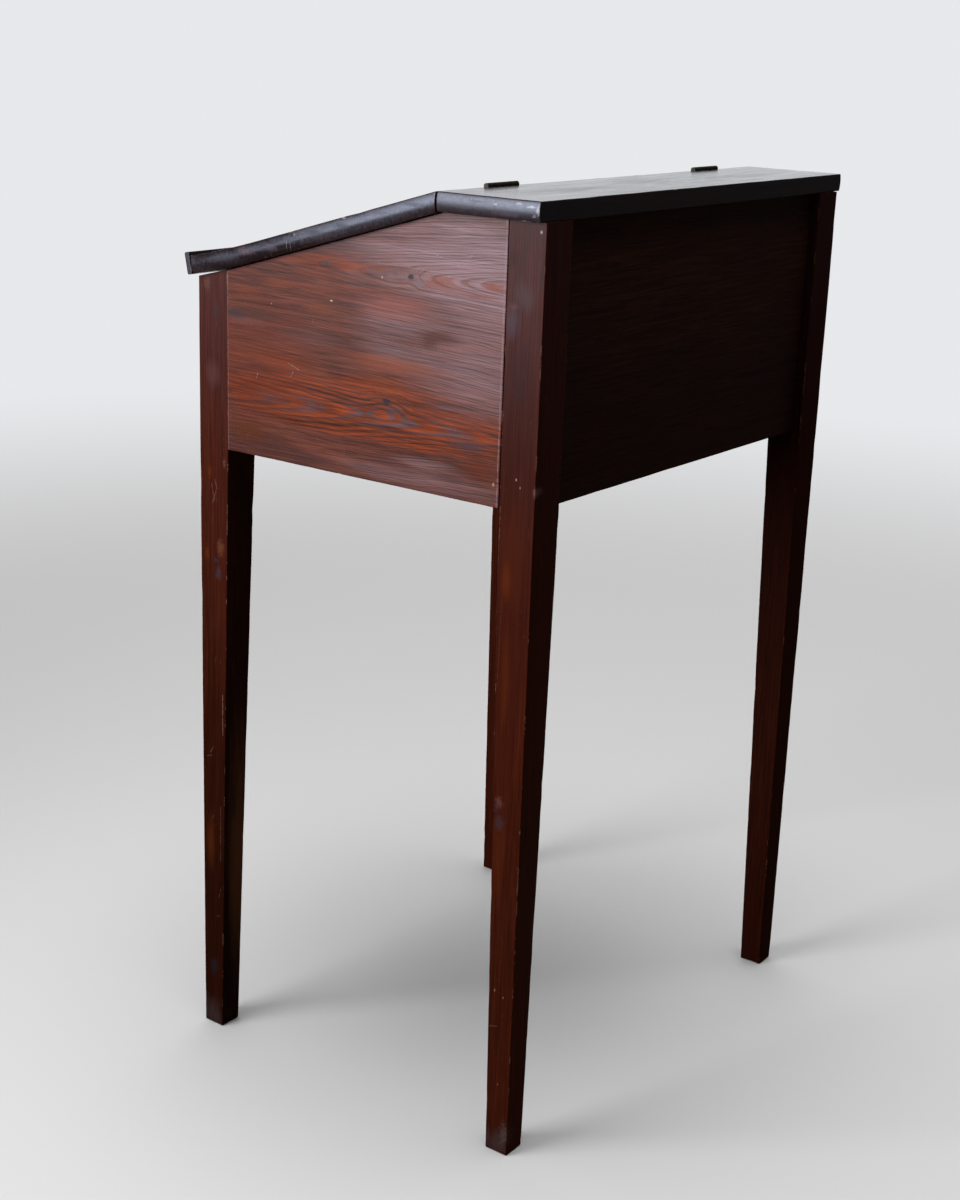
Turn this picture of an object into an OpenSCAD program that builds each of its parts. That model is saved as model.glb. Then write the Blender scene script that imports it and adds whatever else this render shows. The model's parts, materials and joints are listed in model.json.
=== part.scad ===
// Slant-front standing desk in stained pine. Four full-height legs carry panels tenoned
// between them, a floor of grooved boards lies on cleats, a level board closes the back
// of the well, and a lid with a book lip swings on two butt hinges at the ridge.
// Millimetres. The origin is on the floor under the middle of the desk, and the front,
// where the user stands, is towards -Y.

/* [Overall] */
// Height from the floor to the upper face of the level top board
desk_h = 1224; // [1120:1:1300]
// Width over the outer faces of the legs
frame_w = 716; // [600:1:840]
// Depth over the outer faces of the legs
frame_d = 546; // [500:1:600]
// Height of the open leg below the panels
leg_clear_h = 862; // [780:1:900]

/* [Legs] */
// Width of the square upper part of a leg
leg_w = 52; // [46:1:64]
// Width of a leg at the floor, after the taper on its two inner faces
foot_w = 34; // [24:1:44]

/* [Panels] */
// Thickness of the side, front and back panels
panel_t = 22; // [18:0.5:24]
// How far the side panels stand proud of the legs
side_proud = 1; // [0:0.5:2]
// How far the front panel lies behind the front faces of the legs
front_recess = 2; // [0:0.5:10]
// How far the back panel lies inside the back faces of the legs
back_recess = 13; // [4:0.5:16]
// Thickness of the tenons at the ends of the panels
tenon_t = 8; // [6:0.5:10]
// Length of the tenons
tenon_l = 24; // [16:1:28]
// Height of the shoulder above and below a row of tenons
tenon_shoulder = 20; // [12:1:28]
// Height of the gap between two tenons
tenon_gap = 30; // [20:1:40]
// Number of tenons at the tall back end of a side panel, and on the back panel
back_tenons = 3; // [2:1:4]
// Number of tenons at the low front end of a side panel, and on the front panel
front_tenons = 2; // [1:1:3]

/* [Top and lid] */
// Thickness of the top board and of the lid
board_t = 24; // [18:0.5:26]
// How far the top board and the lid overhang the legs at each end
end_overhang = 12; // [4:1:20]
// How far the top board stops short of the back faces of the legs
top_inset = 2; // [0:0.5:6]
// Distance from the back faces of the legs to the ridge
ridge_from_back = 150; // [130:1:180]
// Slope of the lid in degrees
slope_deg = 16.5; // [12:0.5:20]
// How far the lid board reaches past the front faces of the legs
front_overhang = 3; // [0:0.5:20]
// Length of the front part of the lid that has cupped upwards with age
bend_l = 120; // [80:1:160]
// How far the front end of the lid has lifted
lid_lift = 5; // [2:0.5:8]
// Radius of the rounding across the ends of the top board and lid
nose_r = 36; // [20:1:60]

/* [Book lip] */
// Thickness of the strip along the front edge of the lid
lip_t = 8; // [6:0.5:12]
// How far the strip stands above the lid
lip_proud = 5; // [3:0.5:12]
// Radius of the rounded edges of the strip
lip_r = 2.5; // [1:0.5:2.5]

/* [Floor of the well] */
// Thickness of the floor boards
floor_t = 12; // [10:0.5:16]
// Number of floor boards
floor_boards = 3; // [3]
// Width and height of the cleats that carry the floor
cleat_w = 18; // [16:1:24]
// Height of the cleats above the lower edge of the panels
cleat_rise = 2; // [0:0.5:8]
// Thickness of the tongue between two floor boards
tongue_t = 4; // [3:0.5:5]
// Length of the tongue
tongue_l = 6; // [4:0.5:8]

/* [Glue blocks] */
// Width and height of a triangular glue block under the top board
block_w = 24; // [16:1:30]
// Length of a glue block
block_l = 60; // [40:1:70]
// Distance between the glue blocks along the back panel
block_pitch = 220; // [160:1:240]

/* [Hinges] */
// Length of a hinge
hinge_l = 64; // [50:1:80]
// Distance from the end of the lid to the middle of a hinge
hinge_inset = 129; // [90:1:160]
// Thickness of a hinge leaf
leaf_t = 1.6; // [1.2:0.1:2]
// Height of a hinge leaf below the barrel
leaf_h = 14; // [10:0.5:14]
// Radius of the hinge barrel
barrel_r = 3.5; // [3:0.1:4]
// Radius of the hinge pin
pin_r = 1.5; // [1.2:0.1:1.8]
// Height of the pin above the upper face of the boards
axis_rise = 1; // [0.5:0.5:2]
// Number of knuckles in a hinge, both leaves together
knuckles = 5; // [3:2:7]

/* [Fasteners] */
// Distance between the screws in a hinge leaf
hinge_screw_pitch = 22; // [16:1:24]
// Length of the hinge screws
hinge_screw_l = 16; // [12:1:18]
// Radius of the hinge screw shanks
hinge_screw_r = 1.3; // [1:0.1:1.5]
// Length of the screws that hold the cleats
cleat_screw_l = 32; // [28:1:34]
// Radius of the cleat screw shanks
cleat_screw_r = 2; // [1.5:0.1:2.5]
// Distance between the screws and nails along the front and back cleats
cleat_pitch = 150; // [100:1:160]
// Length of the floor nails
nail_l = 26; // [22:1:27]
// Radius of the floor nails
nail_r = 1.2; // [1:0.1:1.5]
// Length of the brads that hold the book lip
brad_l = 24; // [18:1:30]
// Radius of the brads
brad_r = 0.8; // [0.6:0.1:1]
// Number of brads in the book lip
brads = 5; // [3:1:7]
// Distance from the end of the lip to its first brad
brad_inset = 40; // [20:1:80]

/* [Clearances] */
// Open joint between the top board and the lid
ridge_gap = 1.2; // [0.8:0.1:2]
// Gap between the closed lid and the edges that it lies over
lid_gap = 0.5; // [0.3:0.1:1]
// Clearance round a tenon in its mortise
tenon_fit = 0.15; // [0.05:0.05:0.3]
// Space past the end of a tenon, and past the edge of a tongue
end_fit = 0.8; // [0.5:0.1:1]
// Gap between the floor boards and the walls, for the wood to move
floor_gap = 0.8; // [0.5:0.1:1]
// Radial running clearance of the hinge pin
pin_fit = 0.05; // [0.02:0.01:0.08]
// Clearance round the moving metal of a hinge
hinge_fit = 0.4; // [0.3:0.05:0.6]
// Radial clearance of screws and nails in their holes
screw_fit = 0.1; // [0.05:0.05:0.2]

/* [Hidden] */
$fn = 48;

// Colours as the photograph shows them
leg_colour = "#42201b";
panel_colour = "#6b3a34";
back_colour = "#2a1512";
board_colour = "#5c5560";
inner_colour = "#8a6f4e";
hinge_colour = "#4c4430";
iron_colour = "#5a5856";

// Length of the lid board down the slope. Its cupped front part is an arc that leaves the
// slope at a tangent.
lid_l = (frame_d - ridge_from_back + front_overhang) / cos(slope_deg);
bend_r = bend_l * bend_l / (2 * lid_lift);
bend_deg = bend_l / bend_r * 180 / PI;
flat_l = lid_l - bend_l;
lid_end = [-flat_l - bend_r * sin(bend_deg), bend_r * (1 - cos(bend_deg))];

// Foremost point of the book lip, measured from the ridge, which centres the desk in Y
lip_round = lid_end + turn([lip_r - lip_t, lip_proud - lip_r], -bend_deg);
lip_front = turn(lip_round, slope_deg)[0] - lip_r;
ridge_y = -(ridge_from_back + lip_front) / 2;
back_y = ridge_y + ridge_from_back;
front_y = back_y - frame_d;

under_top = desk_h - board_t;
board_w = frame_w + 2 * end_overhang;
hinge_x = board_w / 2 - hinge_inset;
axis_z = desk_h + axis_rise;
leaf_top = -barrel_r - hinge_fit;
screw_z = axis_z + leaf_top - leaf_h / 2;

// Inner faces of the legs and panels
leg_in_x = frame_w / 2 - leg_w;
leg_in_front = front_y + leg_w;
leg_in_back = back_y - leg_w;
side_in = frame_w / 2 + side_proud - panel_t;
front_in = front_y + front_recess + panel_t;
back_in = back_y - back_recess - panel_t;

// Floor of the well
cleat_z = leg_clear_h + cleat_rise;
floor_z = cleat_z + cleat_w;
floor_front = front_in + floor_gap;
floor_pitch = (back_in - floor_gap - floor_front) / floor_boards;

// Screw and nail heads
screw_head = 2.1; // head radius as a multiple of the shank radius
nail_head = 2; // head radius as a multiple of the nail radius
nail_head_t = 1;
slot_w = 0.7;
root = 5; // how far a tenon reaches back into its panel
cut = 1; // how far a cutting shape reaches past a face

// A point turned about the origin of its plane
function turn(p, deg) = [p[0] * cos(deg) - p[1] * sin(deg), p[0] * sin(deg) + p[1] * cos(deg)];

// Height of the sloping edges that the closed lid lies over, at a depth y
function rest_z(y) = desk_h - (board_t + lid_gap) / cos(slope_deg) - (ridge_y - y) * tan(slope_deg);

// Where the slope meets the level edges under the top board
crest_y = ridge_y + (under_top - rest_z(ridge_y)) / tan(slope_deg);

// Extrudes an outline drawn in Y and Z from one x to another
module along_x(x0, x1) {
    translate([x0, 0, 0]) rotate([90, 0, 90]) linear_extrude(x1 - x0) children();
}

// Extrudes an outline drawn in X and Z from one y to another
module along_y(y0, y1) {
    translate([0, y1, 0]) rotate([90, 0, 0]) linear_extrude(y1 - y0) children();
}

// A block between two corners
module block(low, high) {
    translate(low) cube(high - low);
}

// Everything below the top board and lid, as an outline in Y and Z
module below_cover() {
    reach = front_y - leg_w;
    polygon([
        [reach, 0], [back_y + cut, 0], [back_y + cut, under_top],
        [crest_y, under_top], [reach, rest_z(reach)],
    ]);
}

// A leg seen square on, with its outer face on the axis and its inner face tapered
module leg_outline(side) {
    polygon([
        [0, 0], [-side * foot_w, 0], [-side * leg_w, leg_clear_h],
        [-side * leg_w, desk_h], [0, desk_h],
    ]);
}

// A row of tenons that points along +Y, or the mortises for it when it is grown
module tenon_row(run, count, grow) {
    tenon_h = (run - 2 * tenon_shoulder - (count - 1) * tenon_gap) / count;
    reach = tenon_l + (grow > 0 ? end_fit : 0);
    for (i = [0 : count - 1])
        translate([-tenon_t / 2 - grow, -root, tenon_shoulder + i * (tenon_h + tenon_gap) - grow])
            cube([tenon_t + 2 * grow, root + reach, tenon_h + 2 * grow]);
}

// Tenons at both ends of a side panel
module side_tenons(side, grow) {
    x = side * (side_in + panel_t / 2);
    low_run = rest_z(leg_in_front - tenon_l) - leg_clear_h;
    translate([x, leg_in_back, leg_clear_h])
        tenon_row(under_top - leg_clear_h, back_tenons, grow);
    translate([x, leg_in_front, leg_clear_h]) mirror([0, 1, 0])
        tenon_row(low_run, front_tenons, grow);
}

// Tenons at both ends of the panel that lies between two legs at a depth y
module cross_tenons(y, run, count, grow) {
    for (side = [-1, 1])
        translate([side * leg_in_x, y, leg_clear_h]) rotate([0, 0, -90 * side])
            tenon_row(run, count, grow);
}

module back_tenon_rows(grow) {
    cross_tenons(back_in + panel_t / 2, under_top - leg_clear_h, back_tenons, grow);
}

module front_tenon_rows(grow) {
    cross_tenons(front_in - panel_t / 2, rest_z(front_y + front_recess) - leg_clear_h,
        front_tenons, grow);
}

// A leg at the side and end named by the signs of side and end
module leg(side, end) {
    x = side * frame_w / 2;
    y = end > 0 ? back_y : front_y;
    color(leg_colour) difference() {
        intersection() {
            along_y(min(y, y - end * leg_w), max(y, y - end * leg_w))
                translate([x, 0]) leg_outline(side);
            along_x(min(x, x - side * leg_w), max(x, x - side * leg_w)) intersection() {
                translate([y, 0]) leg_outline(end);
                below_cover();
            }
        }
        side_tenons(side, tenon_fit);
        if (end > 0) back_tenon_rows(tenon_fit);
        else front_tenon_rows(tenon_fit);
    }
}

module side_panel(side) {
    x = [side * side_in, side * (side_in + panel_t)];
    color(panel_colour) difference() {
        union() {
            along_x(min(x), max(x)) intersection() {
                translate([leg_in_front, leg_clear_h]) square([leg_in_back - leg_in_front, desk_h]);
                below_cover();
            }
            side_tenons(side, 0);
        }
        cleat_screw_set(screw_fit);
    }
}

module back_panel() {
    color(back_colour) difference() {
        union() {
            block([-leg_in_x, back_in, leg_clear_h], [leg_in_x, back_in + panel_t, under_top]);
            back_tenon_rows(0);
        }
        cleat_screw_set(screw_fit);
    }
}

module front_panel() {
    color(panel_colour) difference() {
        union() {
            along_x(-leg_in_x, leg_in_x) intersection() {
                translate([front_in - panel_t, leg_clear_h]) square([panel_t, desk_h]);
                below_cover();
            }
            front_tenon_rows(0);
        }
        cleat_screw_set(screw_fit);
    }
}

// Floor board number i, counted from the front, with a tongue behind and a groove in front
module bottom_board(i) {
    y = floor_front + i * floor_pitch;
    x = side_in - floor_gap;
    mid = floor_z + floor_t / 2;
    notch = leg_in_x - floor_gap;
    color(inner_colour) difference() {
        union() {
            block([-x, y, floor_z], [x, y + floor_pitch, floor_z + floor_t]);
            if (i < floor_boards - 1)
                block([-x, y + floor_pitch - cut, mid - tongue_t / 2],
                    [x, y + floor_pitch + tongue_l, mid + tongue_t / 2]);
        }
        if (i > 0)
            block([-x - cut, y - cut, mid - tongue_t / 2 - tenon_fit],
                [x + cut, y + tongue_l + end_fit, mid + tongue_t / 2 + tenon_fit]);
        for (side = [-1, 1], end = [front_y, back_y - leg_w])
            translate([side * (notch + leg_w / 2), end + leg_w / 2, floor_z + floor_t / 2])
                cube([leg_w, leg_w + 2 * floor_gap, floor_t + 2 * cut], center = true);
        floor_nail_set(screw_fit);
    }
}

// A cleat along a side panel
module side_cleat(side) {
    x = [side * side_in, side * (side_in - cleat_w)];
    color(inner_colour) difference() {
        block([min(x), leg_in_front, cleat_z], [max(x), leg_in_back, floor_z]);
        cleat_screw_set(screw_fit);
        floor_nail_set(screw_fit);
    }
}

// A cleat along the front panel, or along the back panel
module cross_cleat(y) {
    color(inner_colour) difference() {
        block([-leg_in_x, y, cleat_z], [leg_in_x, y + cleat_w, floor_z]);
        cleat_screw_set(screw_fit);
        floor_nail_set(screw_fit);
    }
}

// Section of a board whose ends are rounded across their thickness, lying below the axis
module nosed_section() {
    translate([0, -board_t / 2]) intersection() {
        square([board_w, board_t], center = true);
        union() {
            square([board_w - 2 * nose_r, board_t], center = true);
            for (side = [-1, 1])
                translate([side * (board_w / 2 - nose_r), 0]) circle(nose_r, $fn = 180);
        }
    }
}

module top_board() {
    color(board_colour) difference() {
        along_y(ridge_y + ridge_gap / 2, back_y - top_inset)
            translate([0, desk_h]) nosed_section();
        hinge_seats(1);
        hinge_screw_set(1, screw_fit);
    }
}

// Places what is drawn with +Y up the slope and +Z out of the lid, at the ridge
module on_slope() {
    translate([0, ridge_y, desk_h]) rotate([slope_deg, 0, 0]) children();
}

// Places what is drawn at the front end of the lid, with +Y back into the board
module at_lid_end() {
    on_slope() translate([0, lid_end[0], lid_end[1]]) rotate([-bend_deg, 0, 0]) children();
}

// The cupped front part of the lid, with the nosed section carried round the arc
module cupped_part() {
    translate([0, -flat_l, bend_r]) rotate([0, 90, 180])
        rotate_extrude(angle = bend_deg, $fn = 720)
            translate([bend_r, 0]) rotate(90) nosed_section();
}

module lid_board() {
    color(board_colour) difference() {
        on_slope() {
            along_y(-flat_l, board_t) nosed_section();
            cupped_part();
        }
        block([-board_w, ridge_y - ridge_gap / 2, 0], [board_w, back_y, desk_h + board_t]);
        hinge_seats(-1);
        hinge_screw_set(-1, screw_fit);
        brad_set(screw_fit);
    }
}

// Outline of the book lip in Y and Z, with its upper edges and lower front edge rounded
module lip_outline() {
    low = -board_t;
    for (p = [[lip_r - lip_t, low + lip_r], [lip_r - lip_t, lip_proud - lip_r], [-lip_r, lip_proud - lip_r]])
        translate(p) circle(lip_r);
    translate([-lip_t, low + lip_r]) square([lip_t, board_t + lip_proud - 2 * lip_r]);
    translate([lip_r - lip_t, low]) square([lip_t - lip_r, board_t]);
    translate([lip_r - lip_t, low]) square([lip_t - 2 * lip_r, board_t + lip_proud]);
}

module lid_lip() {
    color(board_colour) difference() {
        at_lid_end() along_x(-board_w / 2, board_w / 2) lip_outline();
        brad_set(screw_fit);
    }
}

// Triangular blocks rubbed into the corners between the top board and the panels
module glue_blocks() {
    side_y = (crest_y + leg_in_back) / 2;
    color(inner_colour) {
        for (i = [-1 : 1])
            along_x(i * block_pitch - block_l / 2, i * block_pitch + block_l / 2)
                polygon([[back_in, under_top], [back_in - block_w, under_top],
                    [back_in, under_top - block_w]]);
        for (side = [-1, 1])
            along_y(side_y - block_l / 2, side_y + block_l / 2)
                polygon([[side * side_in, under_top], [side * (side_in - block_w), under_top],
                    [side * side_in, under_top - block_w]]);
    }
}

// Places what is drawn about the middle of a hinge's pin
module at_hinge(side) {
    translate([side * hinge_x, ridge_y, axis_z]) children();
}

// A rod along X about the origin
module rod(r, length) {
    rotate([0, 90, 0]) cylinder(r = r, h = length, center = true);
}

// Recesses for both hinges: towards +1 in the top board, towards -1 in the lid
module hinge_seats(face) {
    deep = ridge_gap / 2 + leaf_t;
    y = [-face * deep, face * deep];
    for (side = [-1, 1]) at_hinge(side) {
        rod(barrel_r + hinge_fit, hinge_l + 2 * hinge_fit);
        block([-hinge_l / 2 - hinge_fit, min(y), leaf_top - leaf_h - hinge_fit],
            [hinge_l / 2 + hinge_fit, max(y), 0]);
    }
}

// One leaf, with every second knuckle: face +1 is the leaf on the top board, -1 on the lid
module hinge_leaf(side, face) {
    pitch = hinge_l / knuckles;
    y = [face * ridge_gap / 2, face * (ridge_gap / 2 + leaf_t)];
    color(hinge_colour) difference() {
        at_hinge(side) difference() {
            union() {
                block([-hinge_l / 2, min(y), leaf_top - leaf_h], [hinge_l / 2, max(y), leaf_top]);
                for (i = [(face > 0 ? 0 : 1) : 2 : knuckles - 1])
                    translate([(i + 0.5) * pitch - hinge_l / 2, 0, 0]) {
                        rod(barrel_r, pitch - hinge_fit);
                        block([-(pitch - hinge_fit) / 2, min(y), leaf_top - cut],
                            [(pitch - hinge_fit) / 2, max(y), 0]);
                    }
            }
            rod(pin_r + pin_fit, hinge_l + 2 * cut);
        }
        hinge_screw_set(face, screw_fit);
    }
}

module hinge_pin(side) {
    color(hinge_colour) at_hinge(side) rod(pin_r, hinge_l);
}

// A countersunk screw that points along +Z from the face it is driven through
module wood_screw(r, length, head_t, grow) {
    tip = 2 * r;
    difference() {
        rotate_extrude() polygon([
            [0, -grow], [screw_head * r + grow, -grow], [screw_head * r + grow, 0],
            [r + grow, head_t], [r + grow, length - tip], [0, length + grow],
        ]);
        if (grow == 0)
            translate([0, 0, -cut]) cube([3 * screw_head * r, slot_w, 2 * (cut + slot_w)], center = true);
    }
}

// A flat-headed nail that points along +Z, with its head sunk level
module nail(r, length, grow) {
    rotate_extrude() polygon([
        [0, -grow], [nail_head * r + grow, -grow], [nail_head * r + grow, nail_head_t],
        [r + grow, nail_head_t], [r + grow, length - 2 * r], [0, length + grow],
    ]);
}

// The screws in both hinges' leaves on one face
module hinge_screw_set(face, grow) {
    for (side = [-1, 1], i = [-1 : 1])
        translate([side * hinge_x + i * hinge_screw_pitch, ridge_y + face * ridge_gap / 2, screw_z])
            rotate([-90 * face, 0, 0]) wood_screw(hinge_screw_r, hinge_screw_l, leaf_t, grow);
}

// The screws through the four cleats into the panels
module cleat_screw_set(grow) {
    head_t = screw_head * cleat_screw_r;
    z = cleat_z + cleat_w / 2;
    for (side = [-1, 1], i = [0 : floor_boards - 1])
        translate([side * (side_in - cleat_w), floor_front + (i + 0.5) * floor_pitch, z])
            rotate([0, 90 * side, 0]) wood_screw(cleat_screw_r, cleat_screw_l, head_t, grow);
    for (i = [-1.5 : 1.5]) {
        translate([i * cleat_pitch, front_in + cleat_w, z])
            rotate([90, 0, 0]) wood_screw(cleat_screw_r, cleat_screw_l, head_t, grow);
        translate([i * cleat_pitch, back_in - cleat_w, z])
            rotate([-90, 0, 0]) wood_screw(cleat_screw_r, cleat_screw_l, head_t, grow);
    }
}

// The nails down through the floor boards into the cleats
module floor_nail_set(grow) {
    z = floor_z + floor_t;
    for (side = [-1, 1], i = [0 : floor_boards - 1], part = [0.25, 0.75])
        translate([side * (side_in - cleat_w / 2), floor_front + (i + part) * floor_pitch, z])
            rotate([180, 0, 0]) nail(nail_r, nail_l, grow);
    for (i = [-1 : 1], y = [front_in + cleat_w / 2, back_in - cleat_w / 2])
        translate([i * cleat_pitch, y, z]) rotate([180, 0, 0]) nail(nail_r, nail_l, grow);
}

// The brads through the book lip into the front end of the lid
module brad_set(grow) {
    step = (board_w - 2 * brad_inset) / (brads - 1);
    at_lid_end() for (i = [0 : brads - 1])
        translate([brad_inset - board_w / 2 + i * step, -lip_t, -board_t / 2])
            rotate([-90, 0, 0]) nail(brad_r, brad_l, grow);
}

module hinge_screws(face) {
    color(iron_colour) hinge_screw_set(face, 0);
}

module cleat_screws() {
    color(iron_colour) cleat_screw_set(0);
}

module bottom_nails() {
    color(iron_colour) floor_nail_set(0);
}

module lip_brads() {
    color(iron_colour) brad_set(0);
}

leg(1, -1);  // leg_front_right
leg(-1, -1);  // leg_front_left
leg(1, 1);  // leg_back_right
leg(-1, 1);  // leg_back_left
side_panel(1);  // side_panel_right
side_panel(-1);  // side_panel_left
back_panel();
front_panel();
bottom_board(0);  // bottom_board_front
bottom_board(1);  // bottom_board_middle
bottom_board(2);  // bottom_board_back
cross_cleat(front_in);  // bottom_cleat_front
cross_cleat(back_in - cleat_w);  // bottom_cleat_back
side_cleat(1);  // bottom_cleat_right
side_cleat(-1);  // bottom_cleat_left
top_board();
glue_blocks();
lid_board();
lid_lip();
hinge_leaf(1, 1);  // hinge_right_top_leaf
hinge_leaf(1, -1);  // hinge_right_lid_leaf
hinge_pin(1);  // hinge_right_pin
hinge_leaf(-1, 1);  // hinge_left_top_leaf
hinge_leaf(-1, -1);  // hinge_left_lid_leaf
hinge_pin(-1);  // hinge_left_pin
hinge_screws(1);  // hinge_screws_top
hinge_screws(-1);  // hinge_screws_lid
cleat_screws();
bottom_nails();
lip_brads();
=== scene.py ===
import json
import math

import bmesh
import bpy
import numpy as np
from mathutils import Matrix, Vector, noise

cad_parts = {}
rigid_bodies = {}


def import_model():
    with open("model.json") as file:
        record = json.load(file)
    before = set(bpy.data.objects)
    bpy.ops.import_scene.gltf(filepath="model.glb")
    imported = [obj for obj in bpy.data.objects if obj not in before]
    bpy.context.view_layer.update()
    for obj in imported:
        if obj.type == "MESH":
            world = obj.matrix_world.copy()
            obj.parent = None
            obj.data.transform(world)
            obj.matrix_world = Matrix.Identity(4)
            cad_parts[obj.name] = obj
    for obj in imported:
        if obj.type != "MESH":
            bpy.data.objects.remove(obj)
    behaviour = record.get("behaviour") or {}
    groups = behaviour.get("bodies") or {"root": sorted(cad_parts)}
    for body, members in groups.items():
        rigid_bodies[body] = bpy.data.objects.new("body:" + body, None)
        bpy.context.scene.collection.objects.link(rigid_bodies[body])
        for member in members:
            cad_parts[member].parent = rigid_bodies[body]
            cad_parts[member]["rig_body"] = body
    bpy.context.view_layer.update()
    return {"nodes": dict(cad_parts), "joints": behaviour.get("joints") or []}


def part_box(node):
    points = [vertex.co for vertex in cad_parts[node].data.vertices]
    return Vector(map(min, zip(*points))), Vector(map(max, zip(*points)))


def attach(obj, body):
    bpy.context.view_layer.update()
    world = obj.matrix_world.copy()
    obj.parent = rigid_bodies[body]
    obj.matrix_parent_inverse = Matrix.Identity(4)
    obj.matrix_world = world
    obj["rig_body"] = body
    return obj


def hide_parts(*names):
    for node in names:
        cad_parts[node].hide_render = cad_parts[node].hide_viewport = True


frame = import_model()
nodes = frame["nodes"]
print("desk loaded:", len(nodes), "nodes")

# Places that the finishes and pieces share, in metres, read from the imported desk
panelLow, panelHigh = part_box("side_panel_right")
frontLow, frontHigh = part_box("front_panel")
topLow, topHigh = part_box("top_board")
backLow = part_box("back_panel")[0]
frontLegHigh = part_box("leg_front_right")[1]
ridge = Vector(frame["joints"][0]["pos_m"])
boardT = topHigh.z - topLow.z
panelT = panelHigh.x - panelLow.x
slope = math.atan2(frontLegHigh.z - frontHigh.z, frontLegHigh.y - frontHigh.y)      # of the lid


# Small tools for node trees

def feed(tree, socket, value):
    if isinstance(value, bpy.types.NodeSocket):
        tree.links.new(value, socket)
    elif socket.type == "RGBA" and len(value) == 3:
        socket.default_value = (*value, 1)
    else:
        socket.default_value = value


def addNode(tree, kind, inputs=None, **settings):
    node = tree.nodes.new(kind)
    for key, value in settings.items():
        setattr(node, key, value)
    for key, value in (inputs or {}).items():
        feed(tree, node.inputs[key], value)
    return node


def calc(tree, operation, *values):
    node = addNode(tree, "ShaderNodeMath", operation=operation)
    for socket, value in zip(node.inputs, values):
        feed(tree, socket, value)
    return node.outputs[0]


def times(tree, a, b):
    return calc(tree, "MULTIPLY", a, b)


def timesPlus(tree, a, b, c):
    return calc(tree, "MULTIPLY_ADD", a, b, c)


def clamped(tree, value):
    return calc(tree, "MINIMUM", calc(tree, "MAXIMUM", value, 0.0), 1.0)


def vectorCalc(tree, operation, *values):
    node = addNode(tree, "ShaderNodeVectorMath", operation=operation)
    for socket, value in zip(node.inputs, values):
        feed(tree, socket, value)
    return node.outputs["Value" if operation in ("DOT_PRODUCT", "LENGTH") else "Vector"]


def scaled(tree, vector, factor):
    return addNode(tree, "ShaderNodeVectorMath", {0: vector, "Scale": factor}, operation="SCALE").outputs[0]


def split(tree, vector):
    return addNode(tree, "ShaderNodeSeparateXYZ", {0: vector}).outputs


def ramp(tree, value, low, high, toLow=0.0, toHigh=1.0):
    # From toLow to toHigh, smoothly, as the value goes from low to high
    node = addNode(tree, "ShaderNodeMapRange", interpolation_type="SMOOTHSTEP")
    for key, given in (("Value", value), ("From Min", low), ("From Max", high),
                       ("To Min", toLow), ("To Max", toHigh)):
        feed(tree, node.inputs[key], given)
    return node.outputs["Result"]


def blend(tree, factor, a, b):
    node = addNode(tree, "ShaderNodeMix", data_type="RGBA", clamp_factor=True)
    for socket, value in ((node.inputs[0], factor), (node.inputs[6], a), (node.inputs[7], b)):
        feed(tree, socket, value)
    return node.outputs[2]


def grain(tree, position, scale, detail=2.0, roughness=0.5, seed=0.0):
    place = addNode(tree, "ShaderNodeMapping",
                    {"Vector": position, "Scale": scale, "Location": (seed, seed * 0.7, seed * 1.3)})
    return addNode(tree, "ShaderNodeTexNoise", {"Vector": place.outputs[0], "Scale": 1.0,
                                                "Detail": detail, "Roughness": roughness}).outputs


def wandering(tree, position, scale, detail, amount):
    # The position, pushed about by slow noise
    shift = vectorCalc(tree, "SUBTRACT", grain(tree, position, scale, detail)["Color"], (0.5, 0.5, 0.5))
    return vectorCalc(tree, "ADD", position, scaled(tree, shift, amount))


def rippled(tree, position):
    # Small unevenness of the lines of the grain
    return wandering(tree, position, scale=(24, 90, 90), detail=2, amount=0.0028)


def newGroup(name, inputs, outputs):
    tree = bpy.data.node_groups.new(name, "ShaderNodeTree")
    for label, kind, value in inputs:
        socket = tree.interface.new_socket(label, in_out="INPUT", socket_type="NodeSocket" + kind)
        if value is not None:
            socket.default_value = value
    for label in outputs:
        tree.interface.new_socket(label, in_out="OUTPUT", socket_type="NodeSocketFloat")
    return tree, tree.nodes.new("NodeGroupInput").outputs, tree.nodes.new("NodeGroupOutput").inputs


def useGroup(tree, group, inputs):
    node = tree.nodes.new("ShaderNodeGroup")
    node.node_tree = group
    for key, value in inputs.items():
        feed(tree, node.inputs[key], value)
    return node.outputs


# Effects that more than one finish uses. In the wood's own space X runs along the grain.

# One year of growth, from 0 to 1. A pair says where a band is still absent and where it is full.
year = {
    "uneven": 0.9, "unevenPitch": 0.35, "lateRise": (0.9, 0.95), "lateFade": (0.34, 0.02),
    "earlyRise": (0.3, 0.6), "earlyFade": (0.96, 0.88),
    "thinPerYear": 2.0, "thinShift": 0.35, "thinRise": (0.7, 0.9), "thinFade": (1.0, 0.93), "thinShare": 0.45,
    "linesPerYear": 1.5, "linesRise": (0.45, 0.75), "linesFade": (1.0, 0.86),
}


def band(tree, phase, name):
    return times(tree, ramp(tree, phase, *year[name + "Rise"]), ramp(tree, phase, *year[name + "Fade"]))


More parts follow.
